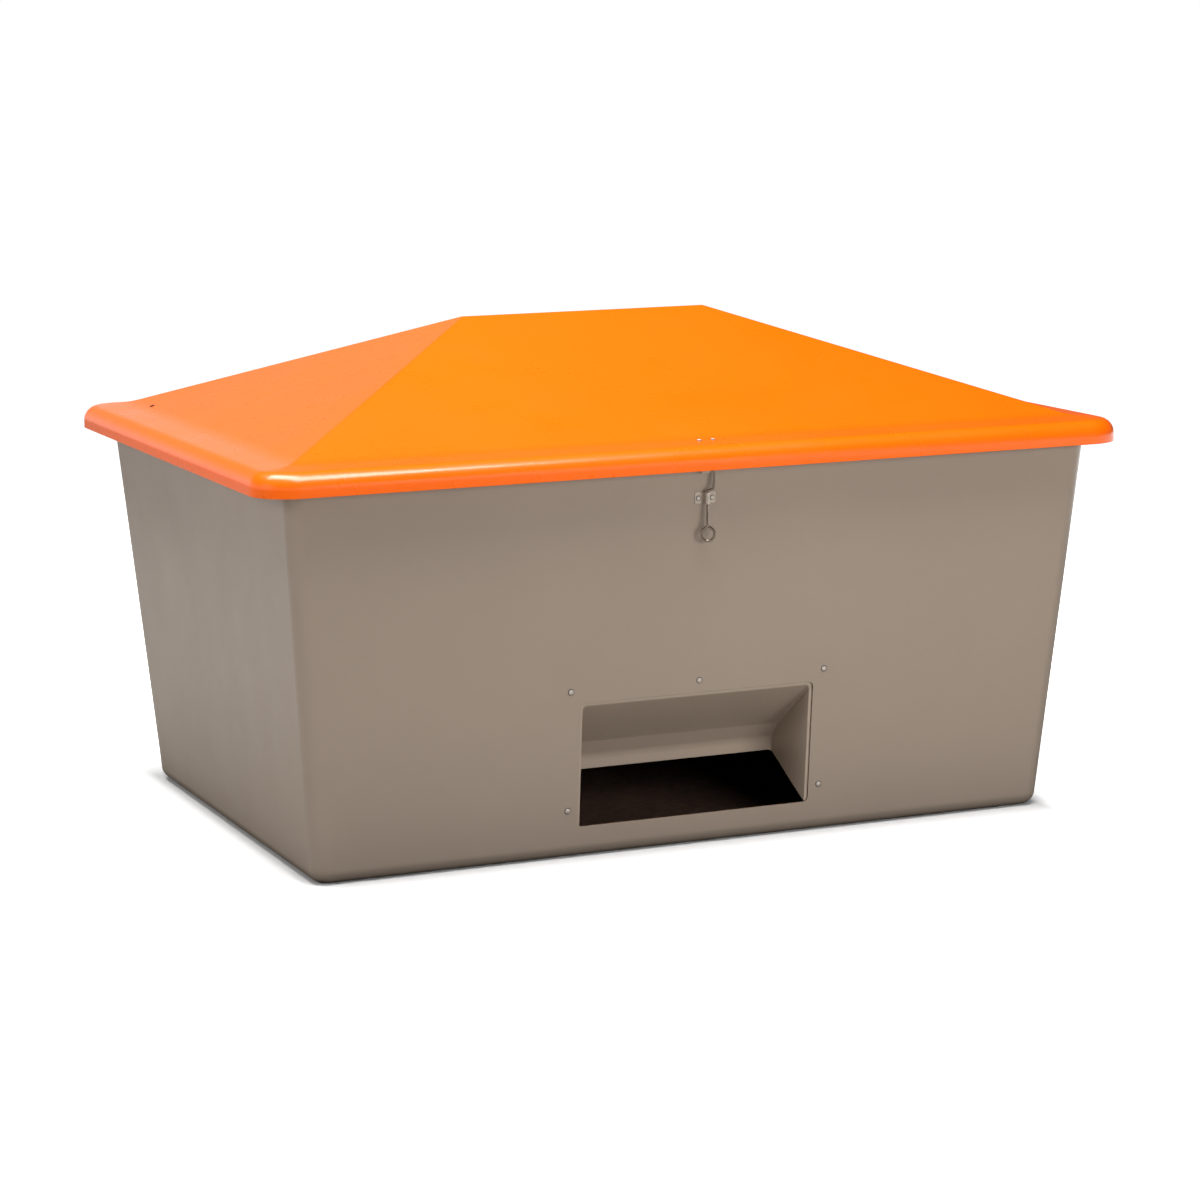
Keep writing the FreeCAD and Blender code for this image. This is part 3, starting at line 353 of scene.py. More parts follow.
def soften(piece, width):
    """Rounds the sharp edges a little and keeps the large faces' normals."""
    bevel = piece.modifiers.new("Edges", "BEVEL")
    bevel.width = width
    bevel.segments = 2
    bevel.limit_method = "ANGLE"
    bevel.angle_limit = math.radians(SOFT_ANGLE)
    normals = piece.modifiers.new("Normals", "WEIGHTED_NORMAL")
    normals.keep_sharp = True


def add_moulding(name, bm, body, slot, node, inside, sizes, rim_material):
    """A skin of glass fibre with its thickness behind the visible face."""
    piece = add_piece(name, bm, body, [node], [SLOT_MATERIALS[slot], inside])
    wall = piece.modifiers.new("Wall", "SOLIDIFY")
    wall.thickness = sizes.wall
    wall.offset = -1.0
    wall.use_even_offset = True
    wall.material_offset = 1
    wall.material_offset_rim = rim_material
    soften(piece, sizes.soft_edge)


def dress_node(node, width, material=None):
    """A copy of a CAD node with merged triangles and rounded edges, in its place."""
    source = frame["nodes"][node]
    bm = bmesh.new()
    bm.from_mesh(source.data)
    bmesh.ops.remove_doubles(bm, verts=bm.verts, dist=SAME_PLACE)
    bmesh.ops.dissolve_limit(bm, angle_limit=math.radians(FLAT_ANGLE), verts=bm.verts, edges=bm.edges)
    slot = NODE_SLOTS[node]
    piece = add_piece(node + "_dressed", bm, source["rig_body"], [node],
                      [material or SLOT_MATERIALS[slot]])
    piece.data.set_sharp_from_angle(angle=math.radians(PLATE_ANGLE))
    soften(piece, width)


# Materials

SLOT_MATERIALS = {
    "tub_glassfibre": "Tub gelcoat",
    "hood_glassfibre": "Hood gelcoat",
    "lid_glassfibre": "Lid gelcoat",
    "seal_rubber": "Seal rubber",
    "wire_stainless": "Latch wire",
    "plate_stainless": "Stainless plate",
    "pin_stainless": "Stainless pin",
    "rivet_aluminium": "Rivet aluminium",
    "bolt_dark": "Dark bolt",
    "strut_black": "Black paint",
    "rod_chrome": "Chrome rod",
    "piston_plastic": "Piston plastic",
}


class Tree:
    """A node tree with short calls for its nodes."""

    def __init__(self, tree):
        self.tree = tree

    def node(self, kind, **values):
        node = self.tree.nodes.new("ShaderNode" + kind)
        for name, value in values.items():
            node.inputs[name].default_value = value
        return node

    def link(self, output, socket):
        self.tree.links.new(output, socket)

    def feed(self, source, socket):
        """Links another node's output, or sets a number or a colour."""
        if isinstance(source, bpy.types.NodeSocket):
            self.link(source, socket)
        else:
            socket.default_value = source if isinstance(source, float) else (*source, 1.0)

    def parts(self, vector):
        node = self.node("SeparateXYZ")
        self.link(vector, node.inputs[0])
        return node.outputs

    def ranged(self, value, low, high, start, end, smooth=False):
        node = self.node("MapRange", **{"From Min": low, "From Max": high, "To Min": start, "To Max": end})
        if smooth:
            node.interpolation_type = "SMOOTHSTEP"
        self.link(value, node.inputs["Value"])
        return node.outputs["Result"]

    def joined(self, operation, first, second):
        """Two values in a math node."""
        node = self.node("Math")
        node.operation = operation
        self.feed(first, node.inputs[0])
        self.feed(second, node.inputs[1])
        return node.outputs["Value"]

    def chosen(self, factor, first, second):
        """A number between two."""
        node = self.node("Mix")
        self.link(factor, node.inputs["Factor"])
        self.feed(first, node.inputs["A"])
        self.feed(second, node.inputs["B"])
        return node.outputs["Result"]


class Nodes(Tree):
    """A new material with its shader, its textures and its relief."""

    def __init__(self, name, colour, roughness, metallic=0.0):
        self.material = bpy.data.materials.new(name)
        self.material.use_nodes = True
        super().__init__(self.material.node_tree)
        self.shader = self.tree.nodes["Principled BSDF"]
        self.shader.inputs["Base Color"].default_value = (*colour, 1.0)
        self.shader.inputs["Roughness"].default_value = roughness
        self.shader.inputs["Metallic"].default_value = metallic
        self.colour = colour
        self.place = self.node("TexCoord").outputs["Object"]
        self.bump = None

    def stretched(self, scale, turn=(0.0, 0.0, 0.0)):
        mapping = self.node("Mapping", Scale=scale, Rotation=turn)
        self.link(self.place, mapping.inputs["Vector"])
        return mapping.outputs["Vector"]

    def noise(self, scale, detail=3.0, roughness=0.5, place=None):
        node = self.node("TexNoise", Scale=scale, Detail=detail, Roughness=roughness)
        self.link(place or self.place, node.inputs["Vector"])
        return node.outputs["Fac"]

    def blended(self, factor, first, second):
        """A colour between two."""
        node = self.node("Mix")
        node.data_type = "RGBA"
        self.link(factor, node.inputs["Factor"])
        self.feed(first, node.inputs[6])
        self.feed(second, node.inputs[7])
        return node.outputs[2]

    def tint(self, share):
        """The material's own colour, lighter or darker by a share."""
        return tuple(min(1.0, part * share) for part in self.colour)

    def rough(self, value, low, high, start, end):
        self.link(self.ranged(value, low, high, start, end), self.shader.inputs["Roughness"])

    def raised(self, height, distance, strength=1.0):
        """Adds a relief on top of any that is there."""
        node = self.node("Bump", Strength=strength, Distance=distance)
        self.link(height, node.inputs["Height"])
        if self.bump:
            self.link(self.bump, node.inputs["Normal"])
        self.bump = node.outputs["Normal"]
        self.link(self.bump, self.shader.inputs["Normal"])

    def paint(self, colour):
        self.link(colour, self.shader.inputs["Base Color"])


def gelcoat(name, colour, roughness, coat, mottle):
    """Sprayed gelcoat: soft clouds in the pigment, a fine orange peel and a clear sheen."""
    made = Nodes(name, colour, roughness)
    clouds = made.noise(1.7, detail=4.0, roughness=0.55)
    fine = made.noise(140.0, detail=2.0)
    body = made.blended(made.ranged(clouds, 0.35, 0.65, 0.0, 1.0), made.tint(1.0 - mottle),
                        made.tint(1.0 + mottle))
    made.paint(made.blended(made.ranged(fine, 0.3, 0.7, 0.0, 0.10), body, made.tint(0.86)))
    made.rough(made.noise(5.0, detail=5.0, roughness=0.6), 0.3, 0.7, roughness * 0.88, roughness * 1.15)
    made.raised(made.noise(5.5, detail=1.0), 0.0016, 0.55)
    made.raised(made.noise(210.0, detail=2.0), 0.00012, 0.35)
    made.shader.inputs["Coat Weight"].default_value = coat
    made.shader.inputs["Coat Roughness"].default_value = 0.08


def laminate(name, colour):
    """The rough side of chopped-strand glass fibre under its resin."""
    made = Nodes(name, colour, 0.5)
    strands = 0.0
    for turn in (0.3, 1.35, 2.4):
        place = made.stretched((34.0, 260.0, 34.0), (turn * 0.7, turn * 0.4, turn))
        lines = made.ranged(made.noise(1.0, detail=2.0, place=place), 0.52, 0.66, 0.0, 1.0)
        strands = made.joined("MAXIMUM", strands, lines)
    made.paint(made.blended(strands, made.tint(0.82), made.tint(1.18)))
    made.rough(strands, 0.0, 1.0, 0.55, 0.38)
    made.raised(made.noise(14.0, detail=2.0), 0.003, 0.4)
    made.raised(strands, 0.0006, 0.6)


def metal(name, colour, roughness, scratch, worn=0.1, metallic=1.0):
    """Drawn or rolled metal with fine lines along it and a slightly uneven sheen."""
    made = Nodes(name, colour, roughness, metallic)
    lines = made.noise(1.0, detail=3.0, place=made.stretched(scratch))
    spots = made.noise(60.0, detail=4.0, roughness=0.6)
    made.paint(made.blended(made.ranged(spots, 0.35, 0.7, 0.0, 1.0), made.tint(1.0), made.tint(1.0 - worn)))
    made.rough(lines, 0.3, 0.7, roughness * 0.8, roughness * 1.3)
    made.raised(lines, 0.00004, 0.5)


def coated(name, colour, roughness, grain, depth):
    """Rubber, paint or plastic with a fine grain."""
    made = Nodes(name, colour, roughness)
    specks = made.noise(grain, detail=3.0)
    made.paint(made.blended(made.ranged(specks, 0.35, 0.65, 0.0, 1.0), made.tint(0.8), made.tint(1.25)))
    made.rough(made.noise(grain / 6.0, detail=3.0), 0.3, 0.7, roughness * 0.85, roughness * 1.15)
    made.raised(specks, depth, 0.5)


class GRITBIN_OT_finishes(Operator):
    """Make the finish of every piece"""
    bl_idname = "grit_bin.finishes"
    bl_label = "Finishes"

    def execute(self, context):
        finish = context.scene.grit_finish
        gelcoat("Tub gelcoat", finish.tub, roughness=0.34, coat=0.25, mottle=0.025)
        gelcoat("Hood gelcoat", finish.hood, roughness=0.38, coat=0.15, mottle=0.025)
        gelcoat("Lid gelcoat", finish.lid, roughness=0.28, coat=0.28, mottle=0.02)
        laminate("Tub laminate", finish.laminate)
        laminate("Lid laminate", finish.lid_inside)
        metal("Latch wire", finish.wire, 0.2, scratch=(500.0, 500.0, 30.0), worn=0.2)
        metal("Stainless plate", finish.stainless, 0.3, scratch=(30.0, 900.0, 900.0), metallic=0.65)
        metal("Stainless pin", finish.stainless, 0.2, scratch=(900.0, 60.0, 60.0))
        cast = (300.0, 300.0, 300.0)
        metal("Rivet aluminium", finish.aluminium, 0.42, cast, worn=0.18, metallic=0.45)
        # a dark ring painted round the rim of each rivet head: painted shade
        metal("Rivet rim shade", finish.dark_steel_and_rim_shade, 0.55, cast, worn=0.3, metallic=0.3)
        metal("Dark bolt", finish.dark_steel_and_rim_shade, 0.42, cast, worn=0.3)
        metal("Chrome rod", finish.chrome, 0.08, scratch=(40.0, 700.0, 700.0), worn=0.04)
        coated("Seal rubber", finish.rubber, 0.62, grain=420.0, depth=0.0001)
        coated("Black paint", finish.black, 0.3, grain=500.0, depth=0.00005)
        coated("Keeper paint", finish.hood, 0.5, grain=500.0, depth=0.00005)
        coated("Piston plastic", finish.plastic, 0.45, grain=300.0, depth=0.00005)
        for name, node in frame["nodes"].items():
            node.material_slots[0].material = bpy.data.materials[SLOT_MATERIALS[NODE_SLOTS[name]]]
        return {"FINISHED"}


# Tub

def round_inset(rise, radius, angle):
    """How far a rounded base edge lies inside its leaning wall, at a rise above the base."""
    if rise >= radius * (1.0 - math.sin(angle)):
        return 0.0
    centre = radius * math.tan(math.radians(45.0) - angle / 2.0)
    return centre + rise * math.tan(angle) - math.sqrt(radius ** 2 - (radius - rise) ** 2)


def is_front_wall(face):
    return face.normal.y < -FACING and face.calc_area() > WALL_AREA


class GRITBIN_OT_tub(Operator):
    """Mould the tub: rounded base, leaning walls, flange and dispensing mouth"""
    bl_idname = "grit_bin.tub"
    bl_label = "Tub"

    def execute(self, context):
        tub = context.scene.grit_tub
        bm = bmesh.new()
        outlines = []
        for turn in range(0, 91, ARC_STEP):
            rise = tub.base_radius * (1.0 - math.cos(math.radians(turn)))
            end = round_inset(rise, tub.base_radius, tub.end_lean)
            side = round_inset(rise, tub.base_radius, tub.side_lean)
            outlines.append(outline(bm, half_length(rise) - end, half_width(rise) - side,
                                    tub.corner_radius - end, rise, TUB_CORNER_STEPS))
        under = tub.height - tub.wall
        outlines.append(outline(bm, half_length(under), half_width(under), tub.corner_radius, under,
                                TUB_CORNER_STEPS))
        # a bridge between outlines of one height would twist, so the flange comes down afterwards
        rim = outline(bm, half_length(tub.height) + tub.flange_width,
                      half_width(tub.height) + tub.flange_width, tub.corner_radius + tub.flange_width,
                      tub.height, TUB_CORNER_STEPS)
        bridged(bm, outlines + [rim])
        bmesh.ops.translate(bm, vec=(0.0, 0.0, -tub.wall), verts=ends_of(rim))
        base = bmesh.ops.contextual_create(bm, geom=outlines[0])["faces"][0]
        turn_outward(bm, base, Vector((0.0, 0.0, -1.0)))
        self.cut_notch(bm, tub, under)
        self.cut_mouth(bm, tub)
        turn_outward(bm, base, Vector((0.0, 0.0, -1.0)))
        add_moulding("tub_moulding", bm, "tub", "tub_glassfibre", "tub_shell", "Tub laminate", tub, 1)
        return {"FINISHED"}

    @staticmethod
    def cut_notch(bm, tub, under):
        """Opens the front flange where the keeper drops through."""
        def is_flange(face):
            return abs(face.normal.z) > FACING and middle(face).z > under / 2
        for x in (tub.notch_left, tub.notch_right):
            front = faces_where(bm, lambda face: is_flange(face)
                                and middle(face).y < MARGIN - half_width(under))
            front += faces_where(bm, is_front_wall)
            geom = list({part for face in front for part in [face, *face.edges, *face.verts]})
            bmesh.ops.bisect_plane(bm, geom=geom, plane_co=(x, 0.0, 0.0), plane_no=(1.0, 0.0, 0.0))
        gap = faces_where(bm, lambda face: is_flange(face) and middle(face).y < 0.0
                          and tub.notch_left < middle(face).x < tub.notch_right)
        bmesh.ops.delete(bm, geom=gap, context="FACES")

    @staticmethod
    def cut_mouth(bm, tub):
        """Opens the dispensing mouth, with round corners, in the front wall."""
        wall = faces_where(bm, is_front_wall)
        border = list({edge for face in wall for edge in face.edges
                       if any(other not in wall for other in edge.link_faces) or len(edge.link_faces) == 1})
        inner = list({edge for face in wall for edge in face.edges} - set(border))
        bmesh.ops.delete(bm, geom=wall, context="FACES_ONLY")
        bmesh.ops.delete(bm, geom=inner, context="EDGES")
        ring = outline(bm, tub.mouth_width / 2, (tub.mouth_head - tub.mouth_sill) / 2, tub.mouth_corner, 0.0,
                       MOUTH_CORNER_STEPS)
        verts = ends_of(ring)
        bmesh.ops.rotate(bm, cent=(0.0, 0.0, 0.0), matrix=Matrix.Rotation(math.pi / 2, 3, "X"), verts=verts)
        for vert in verts:
            vert.co.z += (tub.mouth_head + tub.mouth_sill) / 2
            vert.co.y = -half_width(vert.co.z)
        bmesh.ops.triangle_fill(bm, use_beauty=True, use_dissolve=False, edges=border + ring,
                                normal=wall_normal())


class GRITBIN_OT_hood(Operator):
    """Mould the hood behind the dispensing mouth, with its flange"""
    bl_idname = "grit_bin.hood"
    bl_label = "Hood"

    def execute(self, context):
        tub, hood = context.scene.grit_tub, context.scene.grit_hood
        run = tub.wall / math.cos(tub.side_lean)
        half = tub.mouth_width / 2 - hood.inset

        def inside(z):
            return -half_width(z) + run
        head = (inside(tub.mouth_head - hood.inset), tub.mouth_head - hood.inset)
        fold = (head[0] + hood.depth, head[1] - hood.fall)
        throat = (fold[0] + hood.throat_depth, fold[1] - hood.throat_fall)
        lip = (throat[0] - hood.lip_return, throat[1] - hood.lip_drop)
        sill = (inside(tub.mouth_sill), tub.mouth_sill)
        bm = bmesh.new()
        side = bm.faces.new([bm.verts.new((-half, y, z)) for y, z in (head, fold, throat, lip, sill)])
        grown = bmesh.ops.extrude_face_region(bm, geom=[side])["geom"]
        bmesh.ops.translate(bm, vec=(2 * half, 0.0, 0.0), verts=verts_in(grown))
        bmesh.ops.recalc_face_normals(bm, faces=bm.faces)
        for vert in bm.verts:
            deep = (vert.co.y - sill[0]) / (throat[0] - sill[0])
            vert.co.x *= 1.0 - hood.draft * max(0.0, deep) / half

        def across(point):
            return [edge for edge in bm.edges
                    if all(math.dist(vert.co.yz, point) < ON_IT for vert in edge.verts)]
        for point, setback in ((fold, hood.fold_round), (throat, hood.throat_round)):
            round_off(bm, across(point), setback, FOLD_STEPS)
        # the faces in the mouth and below the lip are open
        bmesh.ops.delete(bm, geom=faces_where(bm, lambda face: face.normal.y < -FACING or (
            face.normal.z < -0.5 and middle(face).z < lip[1] + MARGIN)), context="FACES")
        cheeks = [edge for edge in bm.edges if len(edge.link_faces) == 2
                  and edge.calc_face_angle() > math.radians(CHEEK_ANGLE)]
        round_off(bm, cheeks, hood.cheek_round, CHEEK_STEPS)
        rim = [edge for edge in bm.edges if edge.is_boundary
               and all(abs(v.co.y - inside(v.co.z)) < ON_IT for v in edge.verts)]
        border = bmesh.ops.extrude_edge_only(bm, edges=rim)["geom"]
        for vert in verts_in(border):
            if abs(vert.co.x) > half - 1.5 * hood.cheek_round:
                vert.co.x += math.copysign(hood.flange, vert.co.x)
            if vert.co.z > head[1] - 1.5 * hood.cheek_round:
                vert.co.z += hood.flange
            vert.co.y = inside(vert.co.z)
        mouth = [edge for edge in rim if len(edge.link_faces) == 2]
        round_off(bm, mouth, hood.edge_round, HOOD_EDGE_STEPS)
        roof = faces_where(bm, lambda face: middle(face).y > head[0] + hood.depth / 4
                           and abs(middle(face).x) < half / 2)
        turn_outward(bm, roof[0], Vector((0.0, -1.0, 0.0)))
        add_moulding("hood_moulding", bm, "tub", "hood_glassfibre", "chute_hood", "Tub laminate", hood, 0)
        return {"FINISHED"}


class GRITBIN_OT_lid(Operator):
    """Mould the hip-roof lid: skirt, round rim, band, hollow foot and roof"""
    bl_idname = "grit_bin.lid"
    bl_label = "Lid"

    def execute(self, context):
        lid = context.scene.grit_lid
        bm = bmesh.new()

        def section(inset, z, radius):
            return outline(bm, lid.length / 2 - inset, lid.width / 2 - inset, radius, z, LID_CORNER_STEPS)
        outlines = [section(0.0, lid.skirt_bottom, lid.corner_radius)]
        low = lid.edge_height - lid.rim_round
        for turn in range(0, 91, ARC_STEP):
            inset = lid.rim_round * (1.0 - math.cos(math.radians(turn)))
            rise = lid.rim_round * math.sin(math.radians(turn))
            outlines.append(section(inset, low + rise, lid.corner_radius - inset))
        start = math.atan(lid.band_rise / (lid.band_width - lid.rim_round))
        roof = math.atan2(lid.roof_rise, lid.width / 2 - lid.band_width - lid.ridge_flat / 2)
        reach = lid.foot_blend * math.tan((roof - start) / 2)
        foot = lid.edge_height + lid.band_rise
        for step in range(HOLLOW_STEPS + 1):
            angle = start + (roof - start) * step / HOLLOW_STEPS
            inset = (lid.band_width - reach * math.cos(start)
                     + lid.foot_blend * (math.sin(angle) - math.sin(start)))
            z = foot - reach * math.sin(start) + lid.foot_blend * (math.cos(start) - math.cos(angle))
            outlines.append(section(inset, z, lid.hip_round))
        outlines.append(outline(bm, lid.ridge_length / 2, lid.ridge_flat / 2, lid.ridge_flat * RIDGE_CORNER,
                                foot + lid.roof_rise, LID_CORNER_STEPS))
        bridged(bm, outlines)
        ridge = bmesh.ops.contextual_create(bm, geom=outlines[-1])["faces"][0]
        turn_outward(bm, ridge, Vector((0.0, 0.0, 1.0)))
        add_moulding("lid_moulding", bm, "lid", "lid_glassfibre", "lid_shell", "Lid laminate", lid, 1)
        return {"FINISHED"}


# Rivets

def add_rivets(name, body, node, seats, outwards, grip, head_radius):
    """Dome-head rivets turned from their side view, one at each seat, with painted shade round each head's
    rim.
    """
    fixing = bpy.context.scene.grit_fixing
    tail = -grip - fixing.tail_height
    ball = head_radius * (1.0 + fixing.dome_share ** 2) / (2.0 * fixing.dome_share)
    crown = fixing.head_edge + fixing.dome_share * head_radius
    side = [(0.0, tail), (fixing.tail_radius, tail), (fixing.tail_radius, -grip),
            (fixing.shank_radius, -grip), (fixing.shank_radius, 0.0), (head_radius, 0.0)]
    edge = math.asin(head_radius / ball)
    for step in range(DOME_STEPS, -1, -1):
        angle = edge * step / DOME_STEPS
        side.append((ball * math.sin(angle), crown - ball + ball * math.cos(angle)))
    bm = bmesh.new()
    for seat in seats:
        known, old = set(bm.verts), set(bm.faces)
        verts = [bm.verts.new((radius, 0.0, z)) for radius, z in side]
        edges = [bm.edges.new(pair) for pair in zip(verts, verts[1:])]
        bmesh.ops.spin(bm, geom=verts + edges, axis=(0.0, 0.0, 1.0), cent=(0.0, 0.0, 0.0),
                       steps=fixing.turn_steps, angle=2.0 * math.pi, use_merge=True)
        bmesh.ops.remove_doubles(bm, verts=[v for v in bm.verts if v not in known], dist=SAME_PLACE)
        # the outer ring of each head takes the dark second material: painted shade at its rim
        for face in [face for face in bm.faces if face not in old]:
            if middle(face).z >= 0.0 and middle(face).xy.length > fixing.rim_shade_share * head_radius:
                face.material_index = 1
        turn = Vector((0.0, 0.0, 1.0)).rotation_difference(outwards).to_matrix().to_4x4()
        bmesh.ops.transform(bm, matrix=Matrix.Translation(seat) @ turn,
                            verts=[v for v in bm.verts if v not in known])
    bmesh.ops.recalc_face_normals(bm, faces=bm.faces)
    piece = add_piece(name, bm, body, [node], ["Rivet aluminium", "Rivet rim shade"])
    piece.data.set_sharp_from_angle(angle=math.radians(RIVET_ANGLE))
    soften(piece, fixing.soft_edge)


class GRITBIN_OT_rivets(Operator):
    """Set the rivets of the hood, the latch's saddle and the keeper"""
    bl_idname = "grit_bin.rivets"
    bl_label = "Rivets"

    def execute(self, context):
        tub, hood = context.scene.grit_tub, context.scene.grit_hood
        lid, fixing = context.scene.grit_lid, context.scene.grit_fixing
        latch_x = context.scene.grit_latch.axis_x
        out = wall_normal()
        side = tub.mouth_width / 2 + fixing.mouth_out
        high, low = tub.mouth_head + fixing.mouth_above, tub.mouth_sill + fixing.mouth_low
        seats = [Vector((x, -half_width(z), z))
                 for x, z in ((-side, high), (0.0, high), (side, high), (-side, low), (side, low))]
        add_rivets("mouth_rivets", "tub", "chute_rivets", seats, out, tub.wall + hood.wall,
                   fixing.head_radius)
        z = fixing.saddle_height
        seats = [Vector((latch_x + end * fixing.pitch / 2, -half_width(z), z)) + out * fixing.saddle_plate
                 for end in (-1, 1)]
        add_rivets("latch_saddle_rivets", "tub", "saddle_rivets", seats, out, tub.wall + fixing.saddle_plate,
                   fixing.small_head_radius)
        slope = lid.band_rise / (lid.band_width - lid.rim_round)
        up = Vector((0.0, -slope, 1.0)).normalized()
        seats = [Vector((fixing.keeper_x + end * fixing.pitch / 2, fixing.keeper_inset - lid.width / 2,
                         lid.edge_height + (fixing.keeper_inset - lid.rim_round) * slope)) for end in (-1, 1)]
        add_rivets("latch_keeper_rivets", "lid", "keeper_rivets", seats, up, lid.wall + fixing.keeper_plate,
                   fixing.small_head_radius)
        return {"FINISHED"}


# Latch

def rounded_path(points, bends):
    """Points along straight runs with each inner corner rounded by its own radius."""
    path = [points[0]]
    for before, here, after, radius in zip(points, points[1:], points[2:], bends):
        back, ahead = (before - here).normalized(), (after - here).normalized()
        half = back.angle(ahead) / 2.0
        centre = here + (back + ahead).normalized() * radius / math.sin(half)
        first = here + back * radius / math.tan(half) - centre
        turn = first.rotation_difference(here + ahead * radius / math.tan(half) - centre)
        steps = max(3, round(turn.angle / math.radians(BEND_STEP)))
        for step in range(steps + 1):
            part = turn.copy()
            part.angle = turn.angle * step / steps
            path.append(centre + part @ first)
    return path + [points[-1]]


class GRITBIN_OT_latch(Operator):
    """Bend the latch from one wire: ring, shank, bulged hook and crown"""
    bl_idname = "grit_bin.latch"
    bl_label = "Latch"

    def execute(self, context):
        latch = context.scene.grit_latch

        def at(out, z):
            return Vector((out, 0.0, z))
        reach = latch.ring_radius * math.sin(latch.ring_join)
        join_z = latch.ring_height + latch.ring_radius * math.cos(latch.ring_join)
        neck = at(0.0, join_z + reach * math.tan(latch.ring_join))
        path = [neck + (at(reach, join_z) - neck).normalized() * latch.end_gap]
        for step in range(RING_STEPS):
            angle = latch.ring_join + 2.0 * (math.pi - latch.ring_join) * step / RING_STEPS
            path.append(at(latch.ring_radius * math.sin(angle),
                           latch.ring_height + latch.ring_radius * math.cos(angle)))
        points = [at(-reach, join_z), neck, at(0.0, latch.foot_height),
                  at(latch.foot_out, latch.foot_height + latch.foot_rise),
                  at(latch.bulge_out, latch.bulge_height), at(latch.crown_out, latch.crown_height),
                  at(0.0, latch.crown_height - latch.tip_drop)]
        path += rounded_path(points, (latch.neck_bend, latch.foot_bend, latch.foot_bend, latch.bulge_bend,
                                      latch.crown_bend))
        bm = bmesh.new()
        outlines = []
        for i, point in enumerate(path):
            along = (path[min(i + 1, len(path) - 1)] - path[max(i - 1, 0)]).normalized()
            side = Vector((0.0, 1.0, 0.0))
            place = Matrix((side, along.cross(side), along)).transposed().to_4x4()
            place.translation = point
            ring = bmesh.ops.create_circle(bm, cap_ends=False, segments=latch.wire_sides,
                                           radius=latch.wire_radius, matrix=place)["verts"]
            outlines.append(list({edge for vert in ring for edge in vert.link_edges}))
        for outer in (outlines[0], outlines[-1]):
            bmesh.ops.contextual_create(bm, geom=outer)
        bridged(bm, outlines)
        bmesh.ops.rotate(bm, cent=(0.0, 0.0, 0.0), matrix=Matrix.Rotation(-latch.turned_out, 3, "Z"),
                         verts=bm.verts)
        bmesh.ops.translate(bm, vec=(latch.axis_x, latch.axis_y, 0.0), verts=bm.verts)
        bmesh.ops.recalc_face_normals(bm, faces=bm.faces)
        piece = add_piece("latch_wire", bm, "latch", ["latch_hook"], ["Latch wire"])
        soften(piece, latch.soft_edge)
        return {"FINISHED"}


class GRITBIN_OT_plates(Operator):
    """Dress the pressed plates: saddle, keeper, hinge leaves and strut brackets"""
    bl_idname = "grit_bin.plates"
    bl_label = "Plates"

    def execute(self, context):
        width = context.scene.grit_fixing.plate_edge
        for node in sorted(frame["nodes"]):
            if node == "latch_saddle" or "leaf" in node or "bracket" in node:
                dress_node(node, width)
        dress_node("latch_keeper", width, "Keeper paint")
        return {"FINISHED"}


# Stage

def add_lamp(name, place, aim, size, power, reflected=False):
    """A soft lamp that looks at a place."""
    data = bpy.data.lights.new(name, "AREA")
    data.shape = "RECTANGLE"
    data.size, data.size_y = size
    data.energy = power
    lamp = bpy.data.objects.new(name, data)
    lamp.location = place
    lamp.rotation_euler = (Vector(aim) - Vector(place)).to_track_quat("-Z", "Y").to_euler()
    lamp.visible_glossy = reflected
    bpy.context.scene.collection.objects.link(lamp)


